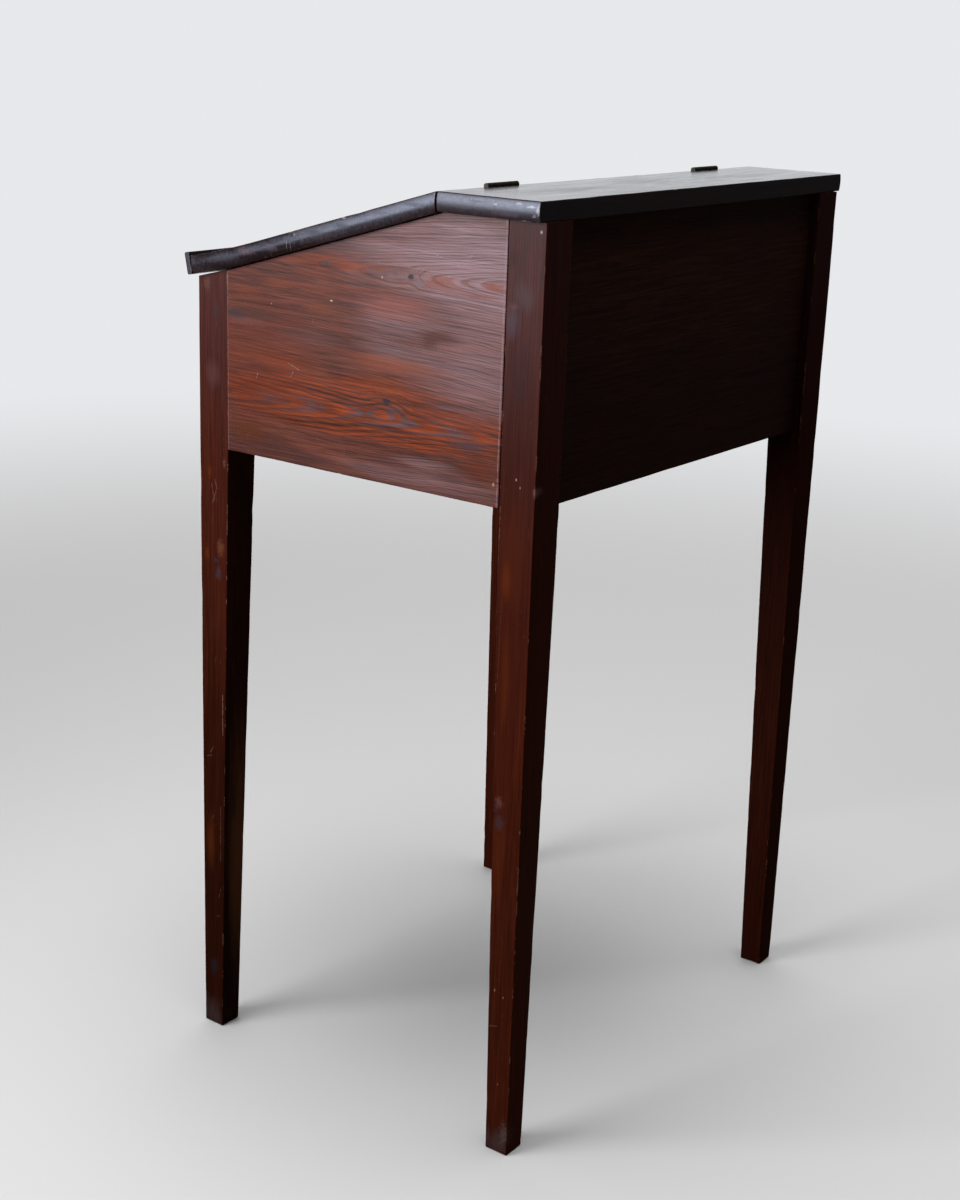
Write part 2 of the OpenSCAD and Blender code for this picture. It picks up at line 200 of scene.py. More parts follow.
def finishRings(tree, count, out):
    # Each uneven year is warm up to its dark late wood, which fades in the next one. Thin lines run between.
    uneven = addNode(tree, "ShaderNodeTexNoise", {
        "W": times(tree, count, year["unevenPitch"]), "Detail": 1.0}, noise_dimensions="1D").outputs[0]
    count = timesPlus(tree, uneven, year["uneven"], count)
    phase = calc(tree, "FRACT", count)
    late = calc(tree, "MAXIMUM", ramp(tree, phase, *year["lateRise"]), ramp(tree, phase, *year["lateFade"]))
    early = band(tree, phase, "early")
    thin = calc(tree, "FRACT", timesPlus(tree, count, year["thinPerYear"], year["thinShift"]))
    thin = band(tree, thin, "thin")
    late = calc(tree, "MAXIMUM", late, times(tree, thin, year["thinShare"]))
    lines = calc(tree, "FRACT", times(tree, count, year["linesPerYear"]))
    lines = band(tree, lines, "lines")
    tone = addNode(tree, "ShaderNodeTexWhiteNoise", {"W": calc(tree, "FLOOR", count)},
                   noise_dimensions="1D").outputs["Value"]
    for label, value in (("Late", late), ("Early", early), ("Lines", lines), ("Tone", tone)):
        feed(tree, out[label], value)


def makeGrowthRings():
    # Year rings round a pith that runs along X, cut by whatever face the timber has
    tree, given, out = newGroup("growthRings", [
        ("Position", "Vector", None), ("Pith Across", "Float", 0.0), ("Pith Depth", "Float", 0.05),
        ("Taper", "Float", 0.03), ("Wander", "Float", 0.006), ("Spacing", "Float", 0.004),
    ], ["Late", "Early", "Lines", "Tone"])
    wandered = wandering(tree, given["Position"], scale=(2.5, 11, 11), detail=2, amount=given["Wander"])
    place = split(tree, rippled(tree, wandered))
    across = calc(tree, "SUBTRACT", place["Y"], given["Pith Across"])
    depth = calc(tree, "SUBTRACT", place["Z"], given["Pith Depth"])
    radius = calc(tree, "ADD", calc(tree, "POWER", across, 2.0), calc(tree, "POWER", depth, 2.0))
    radius = timesPlus(tree, place["X"], given["Taper"], calc(tree, "SQRT", radius))
    finishRings(tree, calc(tree, "DIVIDE", radius, given["Spacing"]), out)
    return tree


def makeArchFigure():
    # A plain-sawn face with two arched figures, one above the other, that point along X
    tree, given, out = newGroup("archFigure", [
        ("Position", "Vector", None), ("Low Figure", "Float", 0.0), ("High Figure", "Float", 0.18),
        ("Pull", "Float", 0.055), ("Roundness", "Float", 0.94), ("Wander", "Float", 0.008),
        ("Spacing", "Float", 0.0045), ("Bulge", "Float", 0.0),
    ], ["Late", "Early", "Lines", "Tone"])
    wandered = wandering(tree, given["Position"], scale=(5, 16, 16), detail=2.5, amount=given["Wander"])
    place = split(tree, rippled(tree, wandered))
    gap = calc(tree, "SUBTRACT", given["High Figure"], given["Low Figure"])
    rise = calc(tree, "DIVIDE", calc(tree, "SUBTRACT", place["Y"], given["Low Figure"]), gap)
    wave = calc(tree, "COSINE", times(tree, rise, math.pi))
    wave = calc(tree, "ARCCOSINE", times(tree, wave, given["Roundness"]))
    depth = times(tree, calc(tree, "DIVIDE", wave, math.pi), gap)
    depth = timesPlus(tree, place["X"], given["Pull"], depth)
    depth = calc(tree, "SUBTRACT", depth, given["Bulge"])
    finishRings(tree, calc(tree, "DIVIDE", depth, given["Spacing"]), out)
    return tree


# Noise for each kind of fibre. Pores and strands start at one value of it and are full at another.
fibreNoise = {
    "Fine": {"scale": (24, 950, 950), "detail": 2, "roughness": 0.65},
    "Coarse": {"scale": (9, 260, 260), "detail": 3, "roughness": 0.55, "seed": 3.1},
    "Pores": {"scale": (60, 2100, 2100), "detail": 1, "roughness": 0.5, "seed": 5.7},
    "Strands": {"scale": (11, 620, 620), "detail": 1, "roughness": 0.5, "seed": 7.9},
}
fibreRise = {"Pores": (0.68, 0.78), "Strands": (0.46, 0.62)}


def makeFibres():
    tree, given, out = newGroup("fibres", [("Position", "Vector", None)], list(fibreNoise))
    for kind, noiseValues in fibreNoise.items():
        found = grain(tree, given["Position"], **noiseValues)["Fac"]
        if kind in fibreRise:
            found = ramp(tree, found, *fibreRise[kind])
        feed(tree, out[kind], found)
    return tree


# A rise says where wear starts and where it is full, a reach how wide it is at its least and at its most
wear = {
    "patches": {"scale": (28, 28, 28), "detail": 3, "roughness": 0.65, "seed": 1.9},
    "crumbs": {"scale": (420, 420, 420), "detail": 2, "roughness": 0.6, "seed": 4.4},
    "patchRise": 0.16, "patchReach": (0.15, 1.6), "crumbRise": (0.25, 0.75), "crumbReach": (0.4, 1.5),
    "rimRise": (1.15, 0.7),
}


def makeArrisWear():
    # Worn close to an arris, more in some places than in others
    tree, given, out = newGroup("arrisWear", [
        ("Position", "Vector", None), ("Distance", "Float", 1.0), ("Width", "Float", 0.0015),
        ("Patches", "Float", 0.5),
    ], ["Worn"])
    patch = grain(tree, given["Position"], **wear["patches"])["Fac"]
    crumbs = grain(tree, given["Position"], **wear["crumbs"])["Fac"]
    patchFull = calc(tree, "ADD", given["Patches"], wear["patchRise"])
    patch = ramp(tree, patch, given["Patches"], patchFull, *wear["patchReach"])
    reach = times(tree, given["Width"], patch)
    reach = times(tree, reach, ramp(tree, crumbs, *wear["crumbRise"], *wear["crumbReach"]))
    feed(tree, out["Worn"], ramp(tree, calc(tree, "DIVIDE", given["Distance"], reach), *wear["rimRise"]))
    return tree


def makeSpot():
    # A soft spot with a ragged rim: a knot, a smudge or a chip
    tree, given, out = newGroup("spot", [
        ("Position", "Vector", None), ("Unrest", "Vector", None), ("Centre", "Vector", None),
        ("Size", "Vector", (0.01, 0.01, 0.01)), ("Ragged", "Float", 0.3), ("Core", "Float", 0.4),
    ], ["Mask"])
    apart = vectorCalc(tree, "DIVIDE", vectorCalc(tree, "SUBTRACT", given["Position"], given["Centre"]),
                       given["Size"])
    apart = vectorCalc(tree, "ADD", apart, scaled(tree, given["Unrest"], given["Ragged"]))
    feed(tree, out["Mask"], ramp(tree, vectorCalc(tree, "LENGTH", apart), low=1.0, high=given["Core"]))
    return tree


def makeStroke():
    # A thin uneven line between two points
    tree, given, out = newGroup("stroke", [
        ("Position", "Vector", None), ("Uneven", "Float", 0.5), ("From", "Vector", None),
        ("To", "Vector", None), ("Width", "Float", 0.0008),
    ], ["Mask"])
    run = vectorCalc(tree, "SUBTRACT", given["To"], given["From"])
    apart = vectorCalc(tree, "SUBTRACT", given["Position"], given["From"])
    share = calc(tree, "DIVIDE", vectorCalc(tree, "DOT_PRODUCT", apart, run),
                 vectorCalc(tree, "DOT_PRODUCT", run, run))
    share = clamped(tree, share)
    gap = vectorCalc(tree, "LENGTH", vectorCalc(tree, "SUBTRACT", apart, scaled(tree, run, share)))
    width = times(tree, given["Width"],
                  ramp(tree, given["Uneven"], low=0.3, high=0.7, toLow=0.2, toHigh=1.5))
    feed(tree, out["Mask"], ramp(tree, calc(tree, "DIVIDE", gap, width), low=1.0, high=0.3))
    return tree


# Scratches are thin lines of noise, turned three ways, that show only where a broad noise is high
fineScratches = {
    "turns": (0.5, 1.3, 2.2), "line": {"scale": (26, 900, 240), "detail": 1, "roughness": 0.4},
    "near": {"scale": (9, 9, 9), "detail": 1, "roughness": 0.5}, "lineSeed": 7.3, "nearSeed": 3.7,
    "lineRise": (0.74, 0.8), "nearRise": (0.52, 0.62),
}


def makeScratches():
    tree, given, out = newGroup("scratches", [
        ("Position", "Vector", None), ("Amount", "Float", 0.5)], ["Mask"])
    found = 0.0
    for number, turn in enumerate(fineScratches["turns"]):
        spun = addNode(tree, "ShaderNodeMapping", {"Vector": given["Position"],
                                                   "Rotation": (turn, turn * 0.6, turn)}).outputs[0]
        line = grain(tree, spun, **fineScratches["line"], seed=number * fineScratches["lineSeed"])["Fac"]
        near = grain(tree, given["Position"], **fineScratches["near"],
                     seed=number * fineScratches["nearSeed"])["Fac"]
        line = times(tree, ramp(tree, line, *fineScratches["lineRise"]),
                     ramp(tree, near, *fineScratches["nearRise"]))
        found = calc(tree, "MAXIMUM", line, found)
    feed(tree, out["Mask"], times(tree, found, given["Amount"]))
    return tree


wellRim = 0.0015      # the panels' lowest strip, which counts as outside


def makeInsideWell():
    # One inside the well, out to the middle of the panels and boards that close it
    tree, given, out = newGroup("insideWell", [("Position", "Vector", None)], ["Mask"])
    place = split(tree, given["Position"])
    fall = calc(tree, "MAXIMUM", calc(tree, "SUBTRACT", ridge.y, place["Y"]), 0.0)
    height = timesPlus(tree, fall, math.tan(slope), place["Z"])
    tests = [
        calc(tree, "LESS_THAN", calc(tree, "ABSOLUTE", place["X"]), panelHigh.x - panelT / 2),
        calc(tree, "GREATER_THAN", place["Y"], frontHigh.y - panelT / 2),
        calc(tree, "LESS_THAN", place["Y"], backLow.y + panelT / 2),
        calc(tree, "GREATER_THAN", place["Z"], panelLow.z + wellRim),
        calc(tree, "LESS_THAN", height, topLow.z + boardT / 2),
    ]
    inside = tests[0]
    for test in tests[1:]:
        inside = times(tree, inside, test)
    feed(tree, out["Mask"], inside)
    return tree


growthRings = makeGrowthRings()
archFigure = makeArchFigure()
fibres = makeFibres()
arrisWear = makeArrisWear()
spot = makeSpot()
stroke = makeStroke()
scratches = makeScratches()
insideWell = makeInsideWell()


# Finishes

def newMaterial(name):
    material = bpy.data.materials.new(name)
    material.use_nodes = True
    tree = material.node_tree
    position = addNode(tree, "ShaderNodeTexCoord").outputs["Object"]
    return material, tree, tree.nodes["Principled BSDF"], position


def woodSpace(along, across):
    # Turn that lays the grain along X and the board's width along Y
    along, across = Vector(along).normalized(), Vector(across).normalized()
    return Matrix((along, across, along.cross(across)))


sideBoard = woodSpace((0, 1, 0), (0, 0, 1))
crossBoard = woodSpace((1, 0, 0), (0, 0, 1))
post = woodSpace((0, 0, 1), (0, 1, 0))
flatBoard = woodSpace((1, 0, 0), (0, 1, 0))
depthBoard = woodSpace((0, 1, 0), (-1, 0, 0))
slopedBoard = woodSpace((1, 0, 0), (0, math.cos(slope), math.sin(slope)))

barePine = {"ground": (0.32, 0.18, 0.085), "late": (0.20, 0.09, 0.035), "lateStrength": 0.7,
            "dirt": (0.13, 0.06, 0.028), "dirtStrength": 0.7}

# Stain colours first, then how strong the figure is, the waxy film with its painted sheen, the wear and the
# gloss
panelLook = {
    "ground": (0.150, 0.041, 0.023), "shade": (0.088, 0.029, 0.022), "wash": (0.175, 0.030, 0.006),
    "early": (0.27, 0.040, 0.005), "late": (0.050, 0.015, 0.011), "lateFigured": (0.056, 0.016, 0.009),
    "lateSheen": (0.125, 0.072, 0.078), "worn": (0.42, 0.24, 0.19), "waxAndSheen": (0.37, 0.23, 0.24),
    "figure": 0.12, "lateWeak": 0.03, "lateStrong": 0.8, "lines": 0.46, "streak": 0.62,
    "patchScale": (5, 20, 20), "film": 0.0, "filmRise": (0.9, 1.2),
    "foot": (1, 1, 1), "footRise": (0.35, 0.8),
    "wearWidth": 0.0009, "wearPatches": 0.54, "wearStrength": 0.35, "scratches": 0.25,
    "rough": 0.42, "roughSpread": 0.16, "mottle": 0.16, "polish": 0.0, "gloss": 0.16, "tint": (1, 1, 1),
    "bump": 0.5,
    "rings": {"Pith Across": 0.02, "Pith Depth": -0.02, "Taper": 0.05, "Wander": 0.012, "Spacing": 0.0048},
}
# Legs: a dark stain with a pale film that grows towards the top, partly old waxy film and partly painted sheen
legLook = {
    **panelLook, "ground": (0.056, 0.0095, 0.0040), "shade": (0.036, 0.0068, 0.0036),
    "wash": (0.082, 0.012, 0.003), "early": (0.090, 0.014, 0.003), "late": (0.020, 0.004, 0.002),
    "lateFigured": (0.020, 0.005, 0.003), "worn": (0.30, 0.13, 0.09), "waxAndSheen": (0.15, 0.085, 0.10),
    "figure": 0.5, "lateStrong": 0.28, "lines": 0.12, "streak": 0.4, "patchScale": (3, 24, 24),
    "film": 0.18, "filmRise": (0.80, 1.20), "wearWidth": 0.0010, "wearPatches": 0.5, "wearStrength": 0.5,
    "rough": 0.38, "gloss": 0.095,
    "rings": {"Pith Across": 0.06, "Pith Depth": -0.05, "Taper": 0.02, "Wander": 0.010, "Spacing": 0.0036},
}
# Back panel: the ground is lightened and the lower part darkened by foot, so the top is painted light where
# the top board's overhang shades it
backLook = {
    **panelLook, "ground": (0.082, 0.024, 0.011), "shade": (0.056, 0.018, 0.010),
    "wash": (0.086, 0.022, 0.009), "early": (0.115, 0.026, 0.008), "late": (0.034, 0.012, 0.006),
    "lateFigured": (0.034, 0.013, 0.007),
    "worn": (0.10, 0.05, 0.04), "waxAndSheen": (0.03, 0.02, 0.018), "film": 0.3,
    "foot": (0.45, 0.44, 0.44), "footRise": (0.9, 1.19), "rough": 0.5, "gloss": 0.12,
}
topLook = {
    **panelLook, "ground": (0.030, 0.019, 0.021), "shade": (0.020, 0.016, 0.020),
    "wash": (0.040, 0.018, 0.016), "early": (0.060, 0.024, 0.018), "late": (0.012, 0.009, 0.011),
    "lateFigured": (0.013, 0.009, 0.011), "worn": (0.60, 0.54, 0.50), "waxAndSheen": (0.10, 0.10, 0.12), "film": 0.0,
    "figure": 0.3, "lateWeak": 0.06, "lateStrong": 0.2, "lines": 0.1, "streak": 0.4,
    "patchScale": (5, 12, 12), "wearWidth": 0.0008, "wearPatches": 0.56, "wearStrength": 0.5,
    "rough": 0.36, "roughSpread": 0.12, "mottle": 0.24, "polish": 0.17, "gloss": 0.50,
    "tint": (0.80, 0.85, 1.0), "bump": 0.12,
    "rings": {"Pith Across": 0.03, "Pith Depth": -0.28, "Taper": 0.03, "Wander": 0.010, "Spacing": 0.0035},
}


# How much the figure, the fibres and wear tell in the colour, the waxy film with its painted sheen, the
# roughness and the relief
woodShares = {
    "fineSpeck": 0.5, "poreColour": 0.5, "waxAndSheenOnLate": -0.25, "waxAndSheenOnLines": -0.5,
    "lateRough": -0.1, "wornRough": 0.2, "wellRough": 0.75, "lateRelief": 0.3, "fineRelief": 0.5,
    "coarseRelief": 0.7, "poreRelief": -0.8, "scratchRelief": -1.0,
}
# Values of a mark that names none. One narrower than small across the grain is frayed by the small noise.
plainMark = {"ragged": 0.6, "fray": 1.6, "core": 0.1, "small": 0.011}


def bareWood(tree, along, streaks, late):
    # Unfinished pine, brown with age and dirty in places
    dirt = grain(tree, along, scale=(5, 9, 9), detail=3, roughness=0.6, seed=8.2)["Fac"]
    dirt = ramp(tree, dirt, low=0.45, high=0.75, toHigh=barePine["dirtStrength"])
    colour = blend(tree, times(tree, late, barePine["lateStrength"]), barePine["ground"], barePine["late"])
    colour = blend(tree, dirt, colour, barePine["dirt"])
    return scaled(tree, colour, ramp(tree, streaks["Coarse"], low=0.2, high=0.8, toLow=0.75, toHigh=1.25))


def grainSpace(tree, position, turn, centre, shift):
    # Places in the wood, with the grain along X; the shift picks another part of the pattern
    return addNode(tree, "ShaderNodeMapping", {
        "Vector": position, "Location": Vector(shift) - turn @ Vector(centre),
        "Rotation": turn.to_euler()}).outputs[0]


def wornArrises(tree, position, width, patches):
    distance = addNode(tree, "ShaderNodeAttribute", attribute_name="arrisDistance").outputs["Fac"]
    return useGroup(tree, arrisWear, {"Position": position, "Distance": distance, "Width": width,
                                      "Patches": patches})["Worn"]


def bumpy(tree, shader, height, strength, distance):
    bump = addNode(tree, "ShaderNodeBump", {"Height": height, "Strength": strength, "Distance": distance})
    feed(tree, shader.inputs["Normal"], bump.outputs[0])


def markPlace(tree, position, along):
    # What all marks of one finish share: where they are, and the noise that frays them
    small = grain(tree, position, scale=(260, 260, 260), detail=3, roughness=0.6, seed=2.2)
    large = grain(tree, along, scale=(9, 75, 75), detail=4, roughness=0.65, seed=1.1)
    half = (0.5, 0.5, 0.5)
    return {"position": position, "uneven": small["Fac"],
            "small": vectorCalc(tree, "SUBTRACT", small["Color"], half),
            "large": vectorCalc(tree, "SUBTRACT", large["Color"], half)}


def markMask(tree, place, mark):
    if "to" in mark:
        return useGroup(tree, stroke, {"Position": place["position"], "Uneven": place["uneven"],
                                       "From": mark["at"], "To": mark["to"], "Width": mark["width"]})[0]
    unrest = place["small" if min(mark["size"][1:]) < plainMark["small"] else "large"]
    ragged = mark.get("ragged", plainMark["ragged"]) * plainMark["fray"]
    return useGroup(tree, spot, {"Position": place["position"], "Unrest": unrest, "Centre": mark["at"],
                                 "Size": mark["size"], "Ragged": ragged,
                                 "Core": mark.get("core", plainMark["core"])})[0]


def gathered(tree, wood, key, start):
    # The sum of one effect over all marks that have it
    total = start
    for mark in wood["marks"]:
        if key in mark:
            total = timesPlus(tree, markMask(tree, wood["place"], mark), mark[key], total)
    return total


def layWood(tree, position, look, turn, centre, shift, marks):
    # What the steps of one finish share: places, marks, growth rings, fibres and slow changes
    along = grainSpace(tree, position, turn, centre, shift)
    wood = {"along": along, "marks": marks, "place": markPlace(tree, position, along) if marks else None}
    if "arch" in look:
        bulge = gathered(tree, wood, "bulge", 0.0)
        rings = useGroup(tree, archFigure, {"Position": along, "Bulge": bulge, **look["arch"]})
    else:
        rings = useGroup(tree, growthRings, {"Position": along, **look["rings"]})
    return {**wood, "rings": rings, "streaks": useGroup(tree, fibres, {"Position": along}),
            "patch": grain(tree, along, look["patchScale"], detail=3, roughness=0.55, seed=2.0)["Fac"],
            "bloom": grain(tree, along, scale=(3.1, 7, 7), detail=2, roughness=0.5, seed=6.0)["Fac"],
            "height": split(tree, position)["Z"]}


def stained(tree, look, wood):
    # A ground in two shades, with red early wood and dark late wood where the figure is strong
    rings, streaks, patch = wood["rings"], wood["streaks"], wood["patch"]
    figure = calc(tree, "ADD", gathered(tree, wood, "figure", look["figure"]),
                  ramp(tree, wood["bloom"], low=0.3, high=0.7, toLow=-0.15, toHigh=0.15))
    figure = clamped(tree, figure)
    colour = blend(tree, ramp(tree, patch, low=0.3, high=0.7), look["ground"], look["shade"])
    washed = times(tree, figure, ramp(tree, patch, low=0.35, high=0.6, toLow=0.25, toHigh=0.95))
    colour = blend(tree, washed, colour, look["wash"])
    redness = times(tree, rings["Early"], ramp(tree, rings["Tone"], low=0.0, high=1.0, toLow=0.35))
    colour = blend(tree, times(tree, redness, figure), colour, look["early"])
    darkness = times(tree, rings["Late"], ramp(tree, figure, 0.0, 1.0, look["lateWeak"], look["lateStrong"]))
    lineStrength = ramp(tree, figure, low=0.0, high=0.8, toLow=look["lines"], toHigh=0.05)
    darkness = calc(tree, "MINIMUM", timesPlus(tree, rings["Lines"], lineStrength, darkness), 1.0)
    dark = blend(tree, figure, look["late"], look["lateFigured"])
    # Painted sheen: where these marks lie, the late wood takes a pale grey-blue
    dark = blend(tree, gathered(tree, wood, "blue", 0.0), dark, look["lateSheen"])
    colour = blend(tree, darkness, colour, dark)
    speck = calc(tree, "SUBTRACT", streaks["Fine"], streaks["Coarse"])
    speck = timesPlus(tree, speck, woodShares["fineSpeck"], streaks["Coarse"])
    speck = ramp(tree, speck, low=0.3, high=0.7, toLow=1 - look["streak"], toHigh=1 + look["streak"])
    colour = scaled(tree, colour, speck)
    pores = times(tree, streaks["Pores"], woodShares["poreColour"])
    colour = blend(tree, pores, colour, look["late"])
    # Darker towards the foot where a look sets one: painted shade on the far back leg, and painted light at
    # the back panel's top together with its lighter ground
    foot = blend(tree, ramp(tree, wood["height"], *look["footRise"]), look["foot"], (1, 1, 1))
    return vectorCalc(tree, "MULTIPLY", colour, foot)


def waxAndPaintedSheen(tree, look, wood, colour):
    # Old waxy film gone grey, with painted sheen: the pale film also stands for the window's hazy reflection.
    # It rises with height and under film marks, and is least on the dark lines of the grain
    film = timesPlus(tree, ramp(tree, wood["height"], *look["filmRise"]), look["film"],
                     gathered(tree, wood, "film", 0.0))
    cover = ramp(tree, wood["streaks"]["Strands"], low=0.0, high=1.0, toLow=0.85, toHigh=1.15)
    cover = timesPlus(tree, wood["rings"]["Late"], woodShares["waxAndSheenOnLate"], cover)
    cover = timesPlus(tree, wood["rings"]["Lines"], woodShares["waxAndSheenOnLines"], cover)
    return blend(tree, times(tree, film, cover), colour, look["waxAndSheen"])


def marked(tree, wood, colour):
    # The marks that have a colour of their own, each over the ones before it: mostly stains, knots and wear, a
    # few painted shade
    for mark in wood["marks"]:
        if "colour" in mark:
            cover = times(tree, markMask(tree, wood["place"], mark), mark["strength"])
            colour = blend(tree, cover, colour, mark["colour"])
    return colour


def roughness(tree, look, wood, worn, inside):
    # Waxed outside, and polished where hands and books slide over the top; dull inside the well
    rough = timesPlus(tree, calc(tree, "SUBTRACT", wood["bloom"], 0.5), look["roughSpread"], look["rough"])
    rough = timesPlus(tree, wood["rings"]["Late"], woodShares["lateRough"] * look["lateStrong"], rough)
    rough = timesPlus(tree, calc(tree, "SUBTRACT", wood["streaks"]["Coarse"], 0.5), look["mottle"], rough)
    rough = gathered(tree, wood, "dull", rough)
    rough = timesPlus(tree, worn, woodShares["wornRough"], rough)
    upward = split(tree, addNode(tree, "ShaderNodeTexCoord").outputs["Normal"])["Z"]
    rough = calc(tree, "SUBTRACT", rough, ramp(tree, upward, low=0.6, high=0.9, toHigh=look["polish"]))
    return calc(tree, "MAXIMUM", rough, times(tree, inside, woodShares["wellRough"]))


def relief(tree, wood, scratch):
    # Raised late wood and fibres, sunk pores and scratches
    streaks = wood["streaks"]
    height = times(tree, wood["rings"]["Late"], woodShares["lateRelief"])
    for key, part in (("fine", streaks["Fine"]), ("coarse", streaks["Coarse"]), ("pore", streaks["Pores"]),
                      ("scratch", scratch)):
        height = timesPlus(tree, part, woodShares[key + "Relief"], height)
    return height


def stainedPine(name, look, turn, centre, shift=(0, 0, 0), marks=()):
    material, tree, shader, position = newMaterial(name)
    wood = layWood(tree, position, look, turn, centre, shift, marks)
    colour = marked(tree, wood, waxAndPaintedSheen(tree, look, wood, stained(tree, look, wood)))
    worn = wornArrises(tree, position, look["wearWidth"], look["wearPatches"])
    scratch = useGroup(tree, scratches, {"Position": position, "Amount": look["scratches"]})["Mask"]
    colour = blend(tree, times(tree, worn, look["wearStrength"]), colour, look["worn"])
    colour = blend(tree, scratch, colour, look["worn"])
    inside = useGroup(tree, insideWell, {"Position": position})["Mask"]
    bare = bareWood(tree, wood["along"], wood["streaks"], wood["rings"]["Late"])
    feed(tree, shader.inputs["Base Color"], blend(tree, inside, colour, bare))
    feed(tree, shader.inputs["Roughness"], roughness(tree, look, wood, worn, inside))
    shader.inputs["Specular IOR Level"].default_value = look["gloss"]
    shader.inputs["Specular Tint"].default_value = (*look["tint"], 1)
    bumpy(tree, shader, relief(tree, wood, scratch), strength=look["bump"], distance=0.0002)
    return material


def plainPine(name, turn, centre, shift):
    # Unfinished wood of the floor, cleats and glue blocks
    material, tree, shader, position = newMaterial(name)
    along = grainSpace(tree, position, turn, centre, shift)
    late = useGroup(tree, growthRings, {"Position": along, **panelLook["rings"]})["Late"]
    streaks = useGroup(tree, fibres, {"Position": along})
    feed(tree, shader.inputs["Base Color"], bareWood(tree, along, streaks, late))
    feed(tree, shader.inputs["Roughness"],
         ramp(tree, streaks["Coarse"], low=0.2, high=0.8, toLow=0.68, toHigh=0.85))
    bumpy(tree, shader, timesPlus(tree, streaks["Coarse"], 0.8, late), strength=0.6, distance=0.0003)
    return material


def oldMetal(name, look):
    # Tarnish over metal that is rubbed bare on its edges
    material, tree, shader, position = newMaterial(name)
    film = grain(tree, position, scale=(180, 180, 180), detail=4, roughness=0.6)["Fac"]
    pits = grain(tree, position, scale=(900, 900, 900), detail=2, roughness=0.6, seed=3.0)["Fac"]
    worn = wornArrises(tree, position, width=0.0004, patches=0.4)
    cover = calc(tree, "SUBTRACT", ramp(tree, film, *look["filmRise"]), worn)
    feed(tree, shader.inputs["Base Color"], blend(tree, cover, look["metal"], look["film"]))
    feed(tree, shader.inputs["Metallic"], ramp(tree, cover, low=0.3, high=1.0, toLow=1.0, toHigh=0.35))
    feed(tree, shader.inputs["Roughness"],
         ramp(tree, pits, low=0.3, high=0.7, toLow=look["rough"], toHigh=look["rough"] + 0.2))
    bumpy(tree, shader, pits, strength=0.5, distance=0.0001)
    return material


agedBrass = oldMetal("agedBrass", {"metal": (0.17, 0.13, 0.06), "film": (0.020, 0.017, 0.011),
                                   "filmRise": (0.25, 0.5), "rough": 0.42})
oldIron = oldMetal("oldIron", {"metal": (0.20, 0.19, 0.18), "film": (0.10, 0.045, 0.022),
                               "filmRise": (0.45, 0.65), "rough": 0.45})
print("finishes ready")


# Timber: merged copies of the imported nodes, with worn arrises and a hand-planed surface.
# Lengths in metres, angles in degrees, rates in waves to the metre.
planing = {"merge": 1e-5, "flat": 0.3, "sharp": 25, "shaded": 38, "smallestFace": 3e-5, "wideFace": 0.0015,
           "floor": 0.001, "waveRate": 16, "chipRate": 55, "chipPatches": 21, "chipReach": 2.5}


def addObject(name, data):
    thing = bpy.data.objects.new(name, data)
    bpy.context.scene.collection.objects.link(thing)
    return thing


def standFor(piece, nodeName):
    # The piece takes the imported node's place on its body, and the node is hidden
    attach(piece, nodes[nodeName]["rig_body"])
    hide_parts(nodeName)


def mergedCopy(mesh):
    bm = bmesh.new()
    bm.from_mesh(mesh)
    bmesh.ops.remove_doubles(bm, verts=bm.verts, dist=planing["merge"])
    return bm


def inBoxes(point, boxes):
    return any(all(low[i] <= point[i] <= high[i] for i in range(3)) for low, high in boxes)


def sharpEdges(bm, shape):
    chosen = []
    for edge in bm.edges:
        if len(edge.link_faces) != 2 or edge.calc_face_angle_signed() < math.radians(planing["sharp"]):
            continue
        middle = (edge.verts[0].co + edge.verts[1].co) / 2
        smallest = shape.get("smallestFace", planing["smallestFace"])
        small = min(face.calc_area() for face in edge.link_faces) < smallest
        onFloor = middle.z <= planing["floor"]
        short = edge.calc_length() < shape.get("shortest", 0) and not onFloor
        if not (small or short or inBoxes(middle, shape.get("avoid", []))):
            chosen.append(edge)
    return chosen


def cutThrough(bm, direction, pitch, rim):
    # Rows of points across the timber, a pitch apart, with one close to each end
    direction = Vector(direction)
    reach = [vert.co.dot(direction) for vert in bm.verts]
    low, high = min(reach) + rim, max(reach) - rim
    count = max(1, round((high - low) / pitch))
    for i in range(count + 1):
        bmesh.ops.bisect_plane(bm, geom=bm.verts[:] + bm.edges[:] + bm.faces[:], dist=1e-6,
                               plane_co=direction * (low + (high - low) * i / count), plane_no=direction)


def distanceTo(points, lines):
    # Distance from each point to the nearest of the lines
    start, end = lines[:, :3], lines[:, 3:]
    run = end - start
    nearest = np.full(len(points), 1.0)
    for a, d in zip(start, run):
        t = np.clip((points - a) @ d / (d @ d), 0, 1)
        nearest = np.minimum(nearest, np.linalg.norm(points - a - t[:, None] * d, axis=1))
    return nearest


def fillIn(bm, lines):
    # A point in the middle of each face that is much wider than its rim tells
    bm.verts.index_update()
    corners = distanceTo(np.array([vert.co for vert in bm.verts]), lines)
    middles = distanceTo(np.array([face.calc_center_median() for face in bm.faces]), lines)
    wide = [face for face, gap in zip(bm.faces, middles)
            if gap > max(corners[vert.index] for vert in face.verts) + planing["wideFace"]]
    bmesh.ops.poke(bm, faces=wide)


def wearSurface(bm, nearest, shape):
    # Planing waves everywhere, chips close to the arrises, and for a front leg a top that rises to the lid
    bm.normal_update()
    seed = Vector((shape.get("seed", 0.0),) * 3)
    for vert, gap in zip(bm.verts, nearest):
        push = shape["wave"] * (0.5 + 0.5 * noise.noise(vert.co * planing["waveRate"] + seed))
        if gap < planing["chipReach"] * shape["arris"]:
            chips = noise.noise(vert.co * planing["chipRate"] + seed)
            chips += noise.noise(vert.co * planing["chipPatches"])
            push += shape["chip"] * max(0.0, chips)
        vert.co -= vert.normal * push
        if vert.normal.z > 0.5 and "seat" in shape:
            seat = shape["seat"]
            vert.co.z += seat["rise"] + seat["slope"] * (frontLegHigh.y - vert.co.y)


